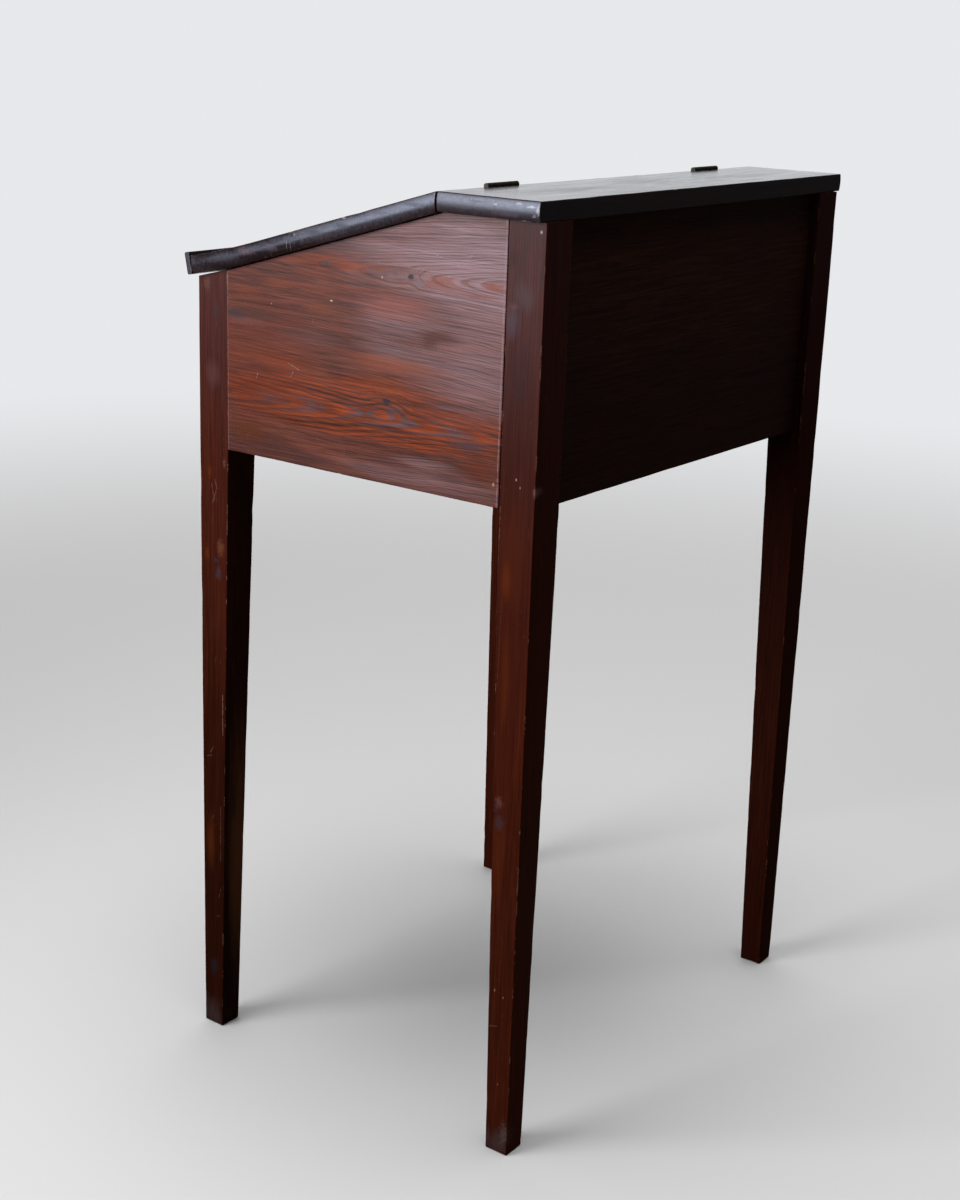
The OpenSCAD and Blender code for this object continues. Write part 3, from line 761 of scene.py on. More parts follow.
def makeTimber(nodeName, shape, material):
    bm = mergedCopy(nodes[nodeName].data)
    bmesh.ops.dissolve_limit(bm, angle_limit=math.radians(planing["flat"]), verts=bm.verts, edges=bm.edges)
    bm.normal_update()
    sharp = sharpEdges(bm, shape)
    lines = np.array([[*edge.verts[0].co, *edge.verts[1].co] for edge in sharp])
    bmesh.ops.bevel(bm, geom=sharp, offset=shape["arris"], offset_type="OFFSET",
                    segments=shape.get("steps", 3), profile=0.5, affect="EDGES", clamp_overlap=False,
                    loop_slide=True)
    for cut in shape.get("cuts", []):
        cutThrough(bm, *cut)
    fillIn(bm, lines)
    nearest = distanceTo(np.array([vert.co for vert in bm.verts]), lines)
    wearSurface(bm, nearest, shape)
    bmesh.ops.triangulate(bm, faces=[face for face in bm.faces if len(face.verts) > 4])
    bm.normal_update()
    for face in bm.faces:
        face.smooth = True
    for edge in bm.edges:
        gentle = edge.calc_face_angle(0) < math.radians(planing["shaded"])
        edge.smooth = len(edge.link_faces) == 2 and gentle
    name = "worn_" + nodeName
    mesh = bpy.data.meshes.new(name)
    bm.to_mesh(mesh)
    bm.free()
    distances = mesh.attributes.new("arrisDistance", "FLOAT", "POINT").data
    distances.foreach_set("value", nearest.astype(np.float32))
    mesh.materials.append(material)
    piece = addObject(name, mesh)
    even = piece.modifiers.new("evenShading", "WEIGHTED_NORMAL")
    even.keep_sharp = True
    standFor(piece, nodeName)


def middleOf(nodeName):
    low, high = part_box(nodeName)
    return (low + high) / 2


# Arris: width of the softened edge. Cuts: direction, pitch, and distance of the outer ones from the ends.
legShape = {"arris": 0.0013, "shortest": 0.1, "wave": 0.00025, "chip": 0.0007,
            "cuts": [((0, 0, 1), 0.018, 0.003), ((1, 0, 0), 0.0115, 0.003), ((0, 1, 0), 0.0115, 0.003)]}
panelShape = {"arris": 0.0009, "shortest": 0.1, "wave": 0.0002, "chip": 0.0003}
innerShape = {"arris": 0.0006, "steps": 2, "shortest": 0.05, "wave": 0.0001, "chip": 0.0003}
boardShape = {"arris": 0.0013, "wave": 0.0002, "chip": 0.0006}


# Marks: stains, knots, wear, and a few of painted sheen and painted shade. Places and sizes are in
# millimetres.

def marker(x, deep):
    # Makes marks on the face at x; a mark has a colour and strength, or other effects by name
    def mark(y, z, wide, high, colour=None, strength=1.0, **effects):
        stain = {"colour": colour, "strength": strength} if colour else {}
        return {"at": (x, y / 1000, z / 1000), "size": (deep, wide / 1000, high / 1000), **stain, **effects}
    return mark


def scratchOn(x, y0, z0, y1, z1, width, strength, colour):
    return {"at": (x, y0 / 1000, z0 / 1000), "to": (x, y1 / 1000, z1 / 1000), "width": width / 1000,
            "colour": colour, "strength": strength}


onLeg = marker(frontLegHigh.x, 0.02)
onPanel = marker(panelHigh.x, 0.03)
onEnd = marker(topHigh.x, 0.01)
blueBlack = (0.035, 0.020, 0.030)
paleWood = (0.72, 0.50, 0.30)
paleChip = (0.50, 0.47, 0.45)
amber = (0.15, 0.026, 0.003)
dust = (0.070, 0.048, 0.046)
smoke = (0.052, 0.042, 0.056)
redLine = (0.30, 0.12, 0.07)
paleLine = (0.32, 0.18, 0.14)

backLegMarks = [
    onLeg(250, 850, 70, 300, (0.038, 0.0042, 0.0012), 0.4, core=0.2, ragged=0.3),
    onLeg(250, 640, 70, 360, (0.050, 0.0050, 0.0010), 0.3, core=0.2, ragged=0.3),
    onLeg(249, 800, 26, 95, (0.080, 0.012, 0.002), 0.6, core=0.2),
    onLeg(243, 774, 11, 36, amber, 0.45), onLeg(246, 650, 12, 90, amber, 0.3),
    onLeg(248, 420, 13, 80, (0.12, 0.022, 0.005), 0.4),
    onLeg(252, 1115, 22, 26, (0.105, 0.066, 0.070), 0.4),
    onLeg(236, 1082, 15, 30, (0.095, 0.072, 0.094), 0.45),
    onLeg(238, 1102, 9, 5, (0.17, 0.06, 0.045), 0.5),
    onLeg(237, 1156, 13, 16, (0.035, 0.012, 0.012), 0.5),
    onLeg(250, 1020, 22, 60, (0.040, 0.014, 0.013), 0.45),
    onLeg(272, 1189, 2.2, 2.8, (0.5, 0.42, 0.42)), onLeg(251, 901, 1.4, 2.4, (0.4, 0.3, 0.3)),
    onLeg(257, 892, 1.2, 2.2, (0.35, 0.22, 0.2)), onLeg(279, 890, 5, 9, (0.20, 0.09, 0.08)),
    onLeg(245, 490, 9, 12, (0.15, 0.060, 0.050), 0.65, ragged=1.0),
    onLeg(247, 463, 10, 14, smoke, 0.5, ragged=0.8),
    onLeg(241, 478, 6, 3, blueBlack, 0.95, ragged=1.2, core=0.4),
    onLeg(264, 226, 1.2, 2.4, (0.3, 0.2, 0.18)), onLeg(250, 232, 1.5, 3, (0.3, 0.2, 0.16)),
    onLeg(261, 99, 1.2, 2, (0.3, 0.2, 0.18)), onLeg(262, 18, 30, 26, dust, 0.75, ragged=1.4),
    onLeg(274, 30, 9, 26, (0.15, 0.10, 0.09), 0.6, ragged=1.6),
    scratchOn(frontLegHigh.x, 230, 866, 228, 745, 1.2, 0.3, redLine),
    scratchOn(frontLegHigh.x, 237, 750, 235, 640, 0.8, 0.14, redLine),
    scratchOn(frontLegHigh.x, 243, 178, 255, 182, 0.8, 0.45, paleLine),
]
frontLegMarks = [
    onLeg(-251, 1076, 9, 14, (0.16, 0.07, 0.05), 0.5, ragged=1.2),
    onLeg(-235, 1044, 9, 12, (0.045, 0.025, 0.030), 0.55),
    onLeg(-240, 958, 18, 26, (0.115, 0.048, 0.045), 0.45),
    onLeg(-222, 842, 4, 9, (0.18, 0.08, 0.06), 0.5, ragged=1.2),
    onLeg(-249, 826, 5, 12, amber, 0.5),
    onLeg(-230, 724, 10, 18, (0.17, 0.055, 0.024), 0.6, ragged=1.0),
    onLeg(-255, 712, 7, 14, amber, 0.5), onLeg(-234, 688, 8, 14, smoke, 0.6, ragged=0.8),
    onLeg(-238, 706, 5, 5, blueBlack, 0.95, ragged=1.2, core=0.4),
    onLeg(-253, 292, 12, 60, (0.12, 0.025, 0.005), 0.5),
    onLeg(-248, 94, 11, 19, (0.020, 0.016, 0.022), 0.75),
    onLeg(-250, 14, 30, 40, dust, 0.6, ragged=1.2),
    {"at": (0.330, -0.2265, 0.26), "size": (0.027, 0.0115, 0.33), "colour": (0.26, 0.100, 0.042),
     "strength": 0.85},
]
for scratch in ((-240, 818, -236, 806, 0.9, 0.30), (-236, 806, -244, 785, 0.8, 0.30),
                (-246, 812, -240, 788, 0.7, 0.24), (-228, 514, -228, 455, 1.0, 0.45),
                (-246, 434, -252, 424, 0.9, 0.30), (-250, 420, -258, 417, 0.9, 0.27),
                (-233, 346, -234, 262, 0.9, 0.24), (-246, 330, -250, 324, 0.7, 0.21),
                (-234, 219, -238, 204, 0.8, 0.21), (-236, 176, -242, 174, 0.8, 0.18)):
    frontLegMarks.append(scratchOn(frontLegHigh.x, *scratch, paleLine))
# Painted shade: the far back leg is darker all over and less glossy. The front right leg is darker towards its
# foot
legDetails = {
    "leg_front_right": ({"foot": (0.5, 0.5, 0.42)}, frontLegMarks), "leg_front_left": ({}, []),
    "leg_back_right": ({"foot": (1.04, 1.04, 1.0)}, backLegMarks),
    "leg_back_left": ({"foot": (0.62, 0.6, 0.6), "footRise": (1.0, 2.0), "gloss": 0.05, "rough": 0.6}, []),
}
for number, (nodeName, (detail, marks)) in enumerate(legDetails.items()):
    finish = stainedPine("finish_" + nodeName, {**legLook, **detail}, post, middleOf(nodeName),
                         (0.3 * number, 0, 0), marks)
    shape = {**legShape, "seed": number * 5.0}
    if "front" in nodeName:
        shape["seat"] = {"rise": 0.0010, "slope": 0.045}      # closer to the lid than the solid leg
    makeTimber(nodeName, shape, finish)

sideCuts = [((0, 1, 0), 0.024, 0.003), ((0, 0, 1), 0.024, 0.003)]
crossCuts = [((1, 0, 0), 0.024, 0.003), ((0, 0, 1), 0.024, 0.003)]
sideLook = {**panelLook, "arch": {"Low Figure": 0.943, "High Figure": 1.122, "Pull": 0.058,
                                  "Roundness": 0.965, "Wander": 0.016, "Spacing": 0.0044}}

# Each mark lies over the ones before it: bands of stain first, with film bands of old waxy film and painted
# sheen and late-wood bands of painted sheen, then knots, chips and scratches
sideMarks = [
    onPanel(15, 946, 290, 44, figure=0.95, core=0.6, ragged=0.35),
    # Painted sheen on the late wood of the lower arch
    onPanel(20, 942, 290, 17, blue=1.0, core=0.3),
    onPanel(-160, 985, 130, 130, (0.13, 0.018, 0.004), 0.4, core=0.2),
    onPanel(65, 1082, 90, 24, (0.33, 0.075, 0.042), 0.4),
    onPanel(60, 1012, 130, 16, (0.34, 0.080, 0.034), 0.5),
    onPanel(90, 1041, 90, 7, (0.085, 0.022, 0.012), 0.5),
    onPanel(50, 1127, 120, 9, (0.13, 0.030, 0.012), 0.55),
    onPanel(125, 1114, 62, 9, (0.24, 0.045, 0.012), 0.45),
    onPanel(-100, 944, 64, 11, (0.12, 0.024, 0.007), 0.5),
    onPanel(-150, 1047, 70, 7, (0.085, 0.020, 0.010), 0.5),
    onPanel(-120, 1030, 100, 6, (0.085, 0.022, 0.012), 0.4),
    # Film marks: painted light along the top edge where the top board's shadow falls, and a low band of old
    # waxy film and painted sheen
    onPanel(150, 1180, 110, 18, film=0.35), onPanel(120, 897, 75, 11, film=0.4),
    onPanel(-120, 1091, 44, 9, (0.24, 0.050, 0.014), 0.5),
    onPanel(-62, 1066, 36, 12, (0.21, 0.046, 0.015), 0.4),
    onPanel(-178, 1075, 42, 9, (0.19, 0.036, 0.010), 0.45),
    onPanel(-100, 1121, 42, 7, (0.27, 0.050, 0.012), 0.5),
    onPanel(-182, 1036, 50, 10, film=0.15), onPanel(-76, 1028, 70, 14, film=0.12),
    onPanel(30, 1124, 190, 9, blue=0.6),
    onPanel(-25, 1125, 105, 15, figure=0.8), onPanel(138, 1117, 50, 14, figure=0.9),
    onPanel(214, 1118, 26, 13, figure=0.9),
    onPanel(-120, 995, 90, 14, figure=0.6), onPanel(60, 985, 140, 18, figure=0.6),
    onPanel(-80, 1085, 90, 14, figure=0.25),
    onPanel(-110, 988, 70, 15, (0.22, 0.040, 0.008), 0.45),
    onPanel(50, 982, 90, 13, (0.22, 0.040, 0.008), 0.4),
    # Painted sheen: the pale film over the upper right stands for the window's hazy reflection
    onPanel(205, 1135, 185, 105, film=0.85), onPanel(190, 1015, 140, 80, film=0.55),
    onPanel(70, 1140, 140, 55, film=0.45),
    onPanel(65, 1028, 80, 26, film=0.35), onPanel(-150, 884, 75, 24, (0.075, 0.022, 0.016), 0.75),
    onPanel(-80, 876, 80, 14, (0.085, 0.030, 0.024), 0.45),
    onPanel(132, 1121, 27, 8, (0.26, 0.052, 0.016), 0.6),
    onPanel(209, 1121, 20, 6, (0.28, 0.052, 0.014), 0.65),
    onPanel(190, 1108, 38, 4, (0.24, 0.052, 0.018), 0.6),
    onPanel(-20, 1126, 42, 8, (0.25, 0.045, 0.010), 0.4),
    onPanel(40, 1125, 15, 4, (0.24, 0.050, 0.016), 0.5),
    onPanel(-60, 1108, 70, 7, (0.22, 0.044, 0.012), 0.35),
    onPanel(110, 876, 220, 20, film=0.34), onPanel(20, 860, 260, 9, (0.070, 0.024, 0.020), 0.5),
    onPanel(60, 1066, 100, 36, film=0.45),
    onPanel(-165, 1048, 60, 14, (0.075, 0.024, 0.017), 0.6),
    onPanel(-60, 1028, 90, 11, (0.085, 0.027, 0.020), 0.4),
    onPanel(150, 975, 60, 8, (0.070, 0.030, 0.028), 0.45),
    onPanel(136, 1054, 50, 12, (0.085, 0.024, 0.018), 0.85),
    onPanel(118, 1046, 20, 13, (0.08, 0.02, 0.013), 0.7),
    onPanel(-174, 893, 46, 19, (0.105, 0.024, 0.006), 0.85, core=0.3),
    onPanel(198, 905, 40, 15, (0.14, 0.024, 0.006), 0.75),
    onPanel(180, 930, 40, 10, (0.055, 0.034, 0.042), 0.75),
    onPanel(-198, 1044, 24, 11, (0.04, 0.026, 0.034), 0.6),
    onPanel(53, 965, 44, 30, bulge=0.008, core=0), onPanel(87, 1120, 36, 22, bulge=0.003, core=0),
    onPanel(66, 956, 18, 8, (0.10, 0.055, 0.062), 0.6),
    onPanel(53, 965, 8.5, 5.5, blueBlack, 0.95, ragged=0.9, core=0.5),
    onPanel(101, 1114, 16, 5.5, (0.18, 0.14, 0.17), 0.7),
    onPanel(87, 1120, 5.5, 4.8, blueBlack, 0.95, ragged=0.9, core=0.5),
    onPanel(-37, 1078, 3.2, 1.6, paleWood), onPanel(43, 1115, 1.8, 2.4, paleWood, 0.6),
    onPanel(-137, 1063, 1.4, 1.4, paleWood, 0.5), onPanel(219, 890, 2.5, 4, paleWood, 0.5),
    onPanel(-21, 862, 6, 1.6, paleWood),
]
for scratch in ((156, 1140, 181, 1158), (166, 1141, 176, 1152), (-163, 964, -160, 973),
                (-104, 974, -99, 982), (-108, 991, -90, 985), (120, 1151, 134, 1147)):
    sideMarks.append(scratchOn(panelHigh.x, *scratch, 0.6, 0.45, (0.42, 0.30, 0.30)))
for y, strength in ((224.6, 0.4), (-213.2, 0.18)):      # pale lines down the panel's edges beside the legs
    sideMarks.append(scratchOn(panelHigh.x, y, 1200, y, 860, 1.3, strength, (0.38, 0.26, 0.28)))
finish = stainedPine("finish_side_panel_right", sideLook, sideBoard, (0, 0, 0), marks=sideMarks)
makeTimber("side_panel_right", {**panelShape, "cuts": sideCuts}, finish)

# The other panels carry the same figure, placed elsewhere
hiddenMarks = [{"at": (-panelHigh.x, 0.02, 0.972), "size": (0.05, 0.32, 0.05), "figure": 0.8, "core": 0.4},
               {"at": (0.05, frontLow.y, 0.965), "size": (0.36, 0.05, 0.045), "figure": 0.8, "core": 0.4},
               {"at": (-panelHigh.x, -0.02, 1.14), "size": (0.05, 0.2, 0.03), "figure": 0.5},
               {"at": (-0.1, frontLow.y, 1.06), "size": (0.25, 0.05, 0.02), "figure": 0.4}]
finish = stainedPine("finish_side_panel_left", sideLook, sideBoard, (0, 0, 0), (0.9, -0.03, 0), hiddenMarks)
makeTimber("side_panel_left", {**panelShape, "cuts": sideCuts, "seed": 3.0}, finish)
finish = stainedPine("finish_front_panel", sideLook, crossBoard, (0, 0, 0), (1.7, -0.022, 0), hiddenMarks)
makeTimber("front_panel", {**panelShape, "cuts": crossCuts, "seed": 6.0}, finish)
finish = stainedPine("finish_back_panel", backLook, crossBoard, middleOf("back_panel"))
makeTimber("back_panel", {**panelShape, "cuts": crossCuts, "seed": 9.0}, finish)

hingeRoom = Vector((0.003, 0.02, 0.003))
hingeBoxes = []      # edges in here stay as they are
for nodeName in ("hinge_right_top_leaf", "hinge_left_top_leaf"):
    low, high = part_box(nodeName)
    hingeBoxes.append((low - hingeRoom, high + hingeRoom))
boardCuts = [((1, 0, 0), 0.024, 0.003), ((0, 1, 0), 0.02, 0.003)]
topMarks = [onEnd(264, 1217, 8, 2, paleChip, 0.7, ragged=1.6),
            onEnd(248, 1219, 7, 1.6, paleChip, 0.6, ragged=1.6),
            onEnd(274, 1214, 3, 8, paleChip, 0.8, ragged=1.6),
            onEnd(269, 1207, 3, 3, paleChip, 0.5, ragged=1.6),
            onEnd(215, 1216, 4, 1.3, paleChip, 0.6, ragged=1.5),
            onEnd(232, 1206, 26, 4, (0.06, 0.03, 0.035), 0.7, dull=0.16),
            onEnd(170, 1209, 22, 3, (0.05, 0.03, 0.035), 0.7, dull=0.14),
            onEnd(190, 1217, 18, 2, dull=0.1),
            {"at": (0.21, 0.21, 1.224), "size": (0.15, 0.03, 0.01), "dull": 0.07},
            {"at": (0.02, 0.19, 1.224), "size": (0.09, 0.05, 0.01), "dull": 0.05},
            {"at": (-0.21, 0.22, 1.224), "size": (0.10, 0.03, 0.01), "dull": 0.04}]
lidMarks = [onEnd(-97, 1157, 8, 2.4, paleChip, 0.8, ragged=1.5),
            onEnd(-89, 1153, 3, 4, paleChip, 0.7, ragged=1.5),
            onEnd(-12, 1181, 5, 2, paleChip, 0.6, ragged=1.5),
            # Painted shade: a wide dark patch with a smoother finish over the front of the end, where the
            # window lamp lights it
            onEnd(-172, 1128, 150, 46, (0.014, 0.006, 0.006), 0.95, core=0.6, ragged=0.3,
                  dull=-0.085),
            onEnd(-172, 1126, 22, 8, (0.10, 0.035, 0.04), 0.5, dull=0.1),
            onEnd(-128, 1134, 16, 6, (0.07, 0.03, 0.035), 0.5, dull=0.14),
            onEnd(-208, 1112, 60, 14, dull=0.12), onEnd(-98, 1146, 14, 6, dull=0.2),
            onEnd(-150, 1131, 30, 5, dull=0.1), onEnd(20, 1184, 26, 8, (0.012, 0.009, 0.011), 0.6),
            onEnd(-60, 1160, 26, 7, (0.012, 0.009, 0.011), 0.8, dull=0.2),
            onEnd(-15, 1172, 20, 6, (0.012, 0.009, 0.011), 0.7, dull=0.2),
            onEnd(40, 1192, 30, 4, (0.06, 0.03, 0.035), 0.6, dull=0.14),
            onEnd(95, 1206, 22, 4, dull=0.14)]
finish = stainedPine("finish_top_board", topLook, flatBoard, middleOf("top_board"), marks=topMarks)
makeTimber("top_board", {**boardShape, "avoid": hingeBoxes, "cuts": boardCuts}, finish)
slopeLine = (0, math.cos(slope), math.sin(slope))
lidCuts = [((1, 0, 0), 0.024, 0.003), (slopeLine, 0.02, 0.003)]
lidLook = {**topLook, "gloss": 0.48, "rough": 0.29, "tint": (0.74, 0.82, 1.0)}
finish = stainedPine("finish_lid_board", lidLook, slopedBoard, middleOf("lid_board"), (0.7, 0.05, 0),
                     lidMarks)
makeTimber("lid_board", {**boardShape, "avoid": hingeBoxes, "cuts": lidCuts, "seed": 4.0}, finish)
finish = stainedPine("finish_lid_lip", {**topLook, "wearStrength": 0.25}, slopedBoard, middleOf("lid_lip"),
                     (1.9, 0.02, 0))
lipShape = {**boardShape, "arris": 0.0006, "cuts": [((1, 0, 0), 0.016, 0.003)], "seed": 8.0}
makeTimber("lid_lip", lipShape, finish)

for number, nodeName in enumerate(["bottom_board_front", "bottom_board_middle", "bottom_board_back",
                                   "bottom_cleat_front", "bottom_cleat_back", "glue_blocks"]):
    finish = plainPine("finish_" + nodeName, flatBoard, middleOf(nodeName), (0.4 * number, 0.013 * number, 0))
    shape = {**innerShape, "cuts": [((1, 0, 0), 0.04, 0.003)], "seed": number * 2.0}
    makeTimber(nodeName, shape, finish)
for number, nodeName in enumerate(["bottom_cleat_right", "bottom_cleat_left"]):
    finish = plainPine("finish_" + nodeName, depthBoard, middleOf(nodeName), (0.4 * number + 3, 0, 0))
    shape = {**innerShape, "cuts": [((0, 1, 0), 0.04, 0.003)], "seed": number * 2.0 + 20}
    makeTimber(nodeName, shape, finish)
print("timber ready")

# Hinges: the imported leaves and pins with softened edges
hingeShape = {"arris": 0.00025, "steps": 2, "smallestFace": 2e-6, "wave": 0.00002, "chip": 0.0}
for side in ("right", "left"):
    for part in ("top_leaf", "lid_leaf", "pin"):
        makeTimber(f"hinge_{side}_{part}", hingeShape, agedBrass)
print("hinges ready")


# Fasteners: each is drawn by a node tree at a point with an aim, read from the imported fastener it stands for

def looseParts(mesh):
    bm = mergedCopy(mesh)
    waiting, parts = set(bm.verts), []
    for start in bm.verts:
        if start not in waiting:
            continue
        waiting.discard(start)
        part = [start]
        for vert in part:
            fresh = {edge.other_vert(vert) for edge in vert.link_edges} & waiting
            waiting -= fresh
            part += sorted(fresh, key=lambda other: other.index)
        parts.append(np.array([vert.co for vert in part]))
    bm.free()
    return parts


def readFasteners(nodeName):
    # Middle of each head, the way it was driven, and the sizes that they share
    heads, aims = [], []
    for points in looseParts(nodes[nodeName].data):
        middle = (points.min(0) + points.max(0)) / 2
        axis = np.linalg.eigh(np.cov((points - middle).T))[1][:, 2]
        along = (points - middle) @ axis
        radius = np.linalg.norm(points - middle - along[:, None] * axis, axis=1)
        first, last = radius[along < along.min() + 1e-4].max(), radius[along > along.max() - 1e-4].max()
        if last > first:
            axis, along = -axis, -along
        heads.append(middle + axis * along.min())
        aims.append(axis)
        sizes = {"Length": float(np.ptp(along)), "Shank": float(min(first, last)),
                 "Head": float(max(first, last))}
    return heads, aims, sizes


def span(tree, *values):
    return addNode(tree, "ShaderNodeCombineXYZ", dict(zip("XYZ", values))).outputs[0]


def moved(tree, geometry, height):
    return addNode(tree, "GeometryNodeTransform", {
        "Geometry": geometry, "Translation": span(tree, 0.0, 0.0, height)}).outputs[0]


def joined(tree, parts):
    node = addNode(tree, "GeometryNodeJoinGeometry")
    for part in parts:
        tree.links.new(part, node.inputs[0])
    return node.outputs[0]


def cone(tree, sides, top, bottom, depth):
    return addNode(tree, "GeometryNodeMeshCone", {
        "Vertices": sides, "Radius Top": top, "Radius Bottom": bottom, "Depth": depth}).outputs["Mesh"]


# Shares of the length, of the shank's radius or of the head's radius
woodScrew = {"slot": (2.4, 0.26, 0.7), "neckEnd": 0.4, "neckSeat": 0.8, "neckTaper": 0.96, "core": 0.74,
             "point": 0.12, "threadEnd": 0.3, "threadTop": 0.78, "threadLong": 0.54, "threadStart": 0.95,
             "blade": 0.2, "turns": 7.0}
cutNail = {"rose": 0.9, "roseTop": 0.94, "neck": 0.6, "shoulder": 0.98, "point": 0.25}
fullTurn = 6.2832


def drawScrew(tree, length, shank, head):
    # Slotted countersunk head, plain neck, and a spiral thread down to the point
    sink = calc(tree, "SUBTRACT", head, shank)
    cup = moved(tree, cone(tree, 28, head, shank, sink), times(tree, sink, -1.0))
    slotSize = [times(tree, head, share) for share in woodScrew["slot"]]
    bar = addNode(tree, "GeometryNodeMeshCube", {"Size": span(tree, *slotSize)})
    cut = addNode(tree, "GeometryNodeMeshBoolean", operation="DIFFERENCE", solver="EXACT")
    feed(tree, cut.inputs["Mesh 1"], cup)
    feed(tree, cut.inputs["Mesh 2"], bar.outputs["Mesh"])
    neckLong = calc(tree, "SUBTRACT", times(tree, length, woodScrew["neckEnd"]),
                    times(tree, sink, woodScrew["neckSeat"]))
    neck = cone(tree, 24, shank, times(tree, shank, woodScrew["neckTaper"]), neckLong)
    neck = moved(tree, neck, times(tree, length, -woodScrew["neckEnd"]))
    core = cone(tree, 20, times(tree, shank, woodScrew["core"]), times(tree, shank, woodScrew["point"]),
                times(tree, length, 1 - woodScrew["neckEnd"]))
    core = moved(tree, core, times(tree, length, -1.0))
    spiral = addNode(tree, "GeometryNodeCurveSpiral", {
        "Resolution": 18, "Rotations": woodScrew["turns"],
        "Start Radius": times(tree, shank, woodScrew["threadEnd"]),
        "End Radius": times(tree, shank, woodScrew["threadTop"]),
        "Height": times(tree, length, woodScrew["threadLong"])}).outputs[0]
    blade = addNode(tree, "GeometryNodeCurvePrimitiveCircle", {
        "Resolution": 4, "Radius": times(tree, shank, woodScrew["blade"])}, mode="RADIUS").outputs[0]
    thread = addNode(tree, "GeometryNodeCurveToMesh", {
        "Curve": spiral, "Profile Curve": blade, "Fill Caps": True}).outputs[0]
    thread = moved(tree, thread, times(tree, length, -woodScrew["threadStart"]))
    return joined(tree, [cut.outputs["Mesh"], neck, core, thread])


def drawNail(tree, length, shank, head):
    # Hammered flat head on a square shank that tapers to the point
    rose = times(tree, shank, cutNail["rose"])
    cap = cone(tree, 14, times(tree, head, cutNail["roseTop"]), head, rose)
    cap = moved(tree, cap, times(tree, rose, -1.0))
    body = cone(tree, 4, times(tree, shank, cutNail["shoulder"]), times(tree, shank, cutNail["point"]),
                calc(tree, "SUBTRACT", length, times(tree, shank, cutNail["neck"])))
    return joined(tree, [cap, moved(tree, body, times(tree, length, -1.0))])


def makeFastenerTree(name, draw):
    tree = bpy.data.node_groups.new(name, "GeometryNodeTree")
    tree.interface.new_socket("Geometry", in_out="INPUT", socket_type="NodeSocketGeometry")
    for label in ("Length", "Shank", "Head"):
        tree.interface.new_socket(label, in_out="INPUT", socket_type="NodeSocketFloat")
    tree.interface.new_socket("Seed", in_out="INPUT", socket_type="NodeSocketInt")
    tree.interface.new_socket("Material", in_out="INPUT", socket_type="NodeSocketMaterial")
    tree.interface.new_socket("Geometry", in_out="OUTPUT", socket_type="NodeSocketGeometry")
    given = addNode(tree, "NodeGroupInput").outputs
    shape = draw(tree, given["Length"], given["Shank"], given["Head"])
    aim = addNode(tree, "GeometryNodeInputNamedAttribute", {"Name": "aim"},
                  data_type="FLOAT_VECTOR").outputs[0]
    spin = addNode(tree, "FunctionNodeRandomValue", {"Max": fullTurn, "Seed": given["Seed"]},
                   data_type="FLOAT").outputs["Value"]
    spin = addNode(tree, "FunctionNodeEulerToRotation", {0: span(tree, 0.0, 0.0, spin)}).outputs[0]
    turn = addNode(tree, "FunctionNodeAlignRotationToVector", {
        "Rotation": spin, "Vector": scaled(tree, aim, -1.0)}, axis="Z").outputs[0]
    placed = addNode(tree, "GeometryNodeInstanceOnPoints", {
        "Points": given["Geometry"], "Instance": shape, "Rotation": turn}).outputs[0]
    solid = addNode(tree, "GeometryNodeRealizeInstances", {0: placed}).outputs[0]
    solid = addNode(tree, "GeometryNodeSetMaterial", {
        "Geometry": solid, "Material": given["Material"]}).outputs[0]
    tree.links.new(solid, addNode(tree, "NodeGroupOutput").inputs[0])
    return tree


def makeFasteners(nodeName, tree, seed):
    heads, aims, sizes = readFasteners(nodeName)
    name = "detailed_" + nodeName
    points = bpy.data.meshes.new(name + "_points")
    points.from_pydata([tuple(head) for head in heads], [], [])
    points.attributes.new("aim", "FLOAT_VECTOR", "POINT").data.foreach_set("vector", np.array(aims).ravel())
    piece = addObject(name, points)
    modifier = piece.modifiers.new("drawn", "NODES")
    modifier.node_group = tree
    settings = {**sizes, "Seed": seed, "Material": oldIron}
    for item in tree.interface.items_tree:
        if item.in_out == "INPUT" and item.name in settings:
            modifier[item.identifier] = settings[item.name]
    ready = piece.evaluated_get(bpy.context.evaluated_depsgraph_get())
    mesh = bpy.data.meshes.new_from_object(ready)
    mesh.name = name
    piece.modifiers.remove(modifier)
    piece.data = mesh
    bpy.data.meshes.remove(points)
    standFor(piece, nodeName)
    print(name, len(heads), "pieces", len(mesh.polygons), "faces")


screwTree = makeFastenerTree("woodScrew", drawScrew)
nailTree = makeFastenerTree("cutNail", drawNail)
fastenerTrees = {"hinge_screws_top": screwTree, "hinge_screws_lid": screwTree, "cleat_screws": screwTree,
                 "bottom_nails": nailTree, "lip_brads": nailTree}
for seed, (nodeName, tree) in enumerate(fastenerTrees.items()):
    makeFasteners(nodeName, tree, seed)
print("fasteners ready")


# Studio. A pair called Rise says where a colour starts and where it is full.

studio = {
    "floorColour": (0.70, 0.68, 0.65), "floorBounce": (0.09, 0.07, 0.05), "floorDim": (0.07, 0.05, 0.035),
    "floorReach": 6.0, "floorDrop": 0.0004, "floorFade": (2.0, 5.0), "floorMirroredRise": (1.9, 3.3),
    "backdrop": (0.80, 0.81, 0.83), "backdropMirrored": (0.92, 0.94, 0.97), "mirroredRise": (0.84, 0.965),
    "backdropToward": (-0.80, -0.60, 0.0), "roomDim": (0.04, 0.04, 0.04), "skyBase": (0.012, 0.012, 0.012),
    "skyTop": (4.4, 4.5, 4.7), "topRise": (0.86, 0.97),
    "skySide": (0.75, 0.78, 0.82), "sideRise": (0.55, 0.95),
    "window": {"at": (2.1, -0.9, 1.5), "aim": (0.35, 0.2, 1.0), "wide": 1.2, "high": 1.2, "power": 17.5,
               "spread": 100.0, "colour": (0.94, 0.98, 1.06)},
    "camera": {"at": (2.1045, 1.4839, 1.4136), "heading": 216.2135, "pitch": -17.1892, "roll": 2.0691,
               "lens": 56.212, "sensor": 36.0},
}


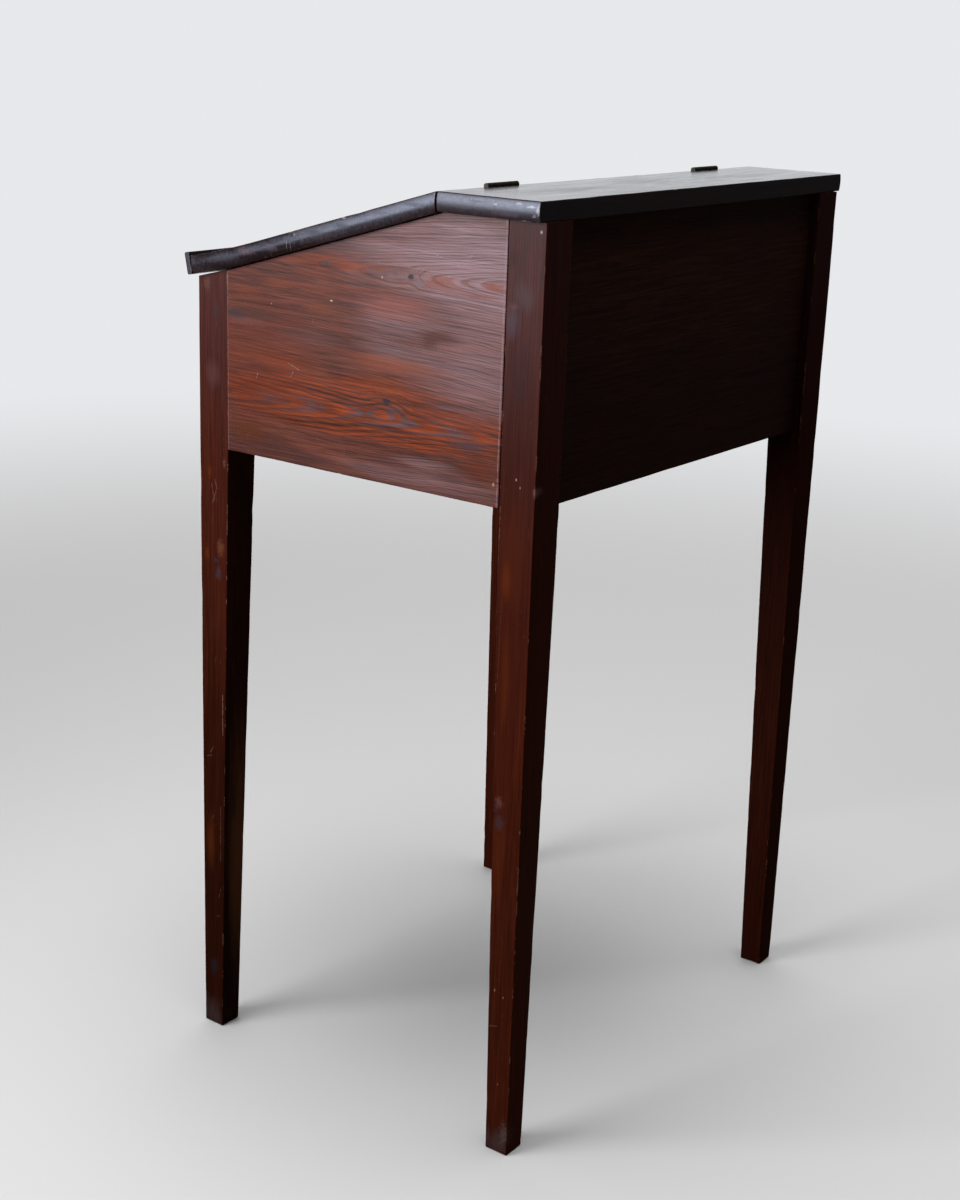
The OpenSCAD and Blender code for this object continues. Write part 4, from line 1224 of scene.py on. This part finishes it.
def rayColours(tree, unseen, mirrored, seen):
    # One colour for light that bounces, one for mirror rays, one for the camera and glass
    path = addNode(tree, "ShaderNodeLightPath").outputs
    colour = blend(tree, path["Is Glossy Ray"], unseen, mirrored)
    direct = calc(tree, "MAXIMUM", path["Is Camera Ray"], path["Is Transmission Ray"])
    return blend(tree, direct, colour, seen)


def makeFloor():
    # Pale, and fading into the backdrop far from the desk; mirrors see it pale towards the backdrop
    bm = bmesh.new()
    bmesh.ops.create_circle(bm, cap_ends=True, segments=96, radius=studio["floorReach"])
    bmesh.ops.translate(bm, verts=bm.verts, vec=(0, 0, -studio["floorDrop"]))
    mesh = bpy.data.meshes.new("paleFloor")
    bm.to_mesh(mesh)
    bm.free()
    material, tree, shader, position = newMaterial("paleFloor")
    far = vectorCalc(tree, "DOT_PRODUCT", position, studio["backdropToward"])
    far = ramp(tree, far, *studio["floorMirroredRise"])
    mirrored = blend(tree, far, studio["floorDim"], studio["floorColour"])
    feed(tree, shader.inputs["Base Color"],
         rayColours(tree, studio["floorBounce"], mirrored, studio["floorColour"]))
    away = vectorCalc(tree, "LENGTH", position)
    feed(tree, shader.inputs["Alpha"], ramp(tree, away, *studio["floorFade"], 1.0, 0.0))
    shader.inputs["Roughness"].default_value = 0.9
    shader.inputs["Specular IOR Level"].default_value = 0.1
    mesh.materials.append(material)
    addObject("paleFloor", mesh)


def makeSky():
    # Light from above and from the backdrop's side, in a dim room
    world = bpy.data.worlds.new("softSky")
    bpy.context.scene.world = world
    world.use_nodes = True
    tree = world.node_tree
    background = tree.nodes["Background"]
    direction = addNode(tree, "ShaderNodeTexCoord").outputs["Generated"]
    side = vectorCalc(tree, "DOT_PRODUCT", direction, studio["backdropToward"])
    top = split(tree, direction)["Z"]
    light = blend(tree, ramp(tree, side, *studio["sideRise"]), studio["skyBase"], studio["skySide"])
    light = blend(tree, ramp(tree, top, *studio["topRise"]), light, studio["skyTop"])
    mirrored = ramp(tree, side, *studio["mirroredRise"])
    mirrored = blend(tree, mirrored, studio["roomDim"], studio["backdropMirrored"])
    feed(tree, background.inputs["Color"], rayColours(tree, light, mirrored, studio["backdrop"]))
    background.inputs["Strength"].default_value = 1.0


def makeLamp(name, lamp):
    light = bpy.data.lights.new(name, "AREA")
    light.shape = "RECTANGLE"
    light.size = lamp["wide"]
    light.size_y = lamp["high"]
    light.energy = lamp["power"]
    light.spread = math.radians(lamp["spread"])
    light.color = lamp["colour"]
    holder = addObject(name, light)
    holder.location = Vector(lamp["at"])
    aim = Vector(lamp["aim"]) - holder.location
    holder.rotation_euler = aim.to_track_quat("-Z", "Y").to_euler()


def makeCamera():
    look = studio["camera"]
    camera = bpy.data.cameras.new("photoCamera")
    camera.lens = look["lens"]
    camera.sensor_width = look["sensor"]
    heading, pitch, roll = (math.radians(look[key]) for key in ("heading", "pitch", "roll"))
    level = Vector((math.cos(heading), math.sin(heading), 0))
    forward = math.cos(pitch) * level + Vector((0, 0, math.sin(pitch)))
    right = forward.cross(Vector((0, 0, 1))).normalized()
    up = right.cross(forward)
    tiltedRight = math.cos(roll) * right + math.sin(roll) * up
    tiltedUp = -math.sin(roll) * right + math.cos(roll) * up
    holder = addObject("photoCamera", camera)
    holder.matrix_world = Matrix.Translation(look["at"]) @ Matrix(
        (tiltedRight, tiltedUp, -forward)).transposed().to_4x4()
    bpy.context.scene.camera = holder


makeFloor()
makeSky()
makeLamp("window", studio["window"])
makeCamera()
bpy.context.scene.view_settings.view_transform = "Standard"
print("studio ready")
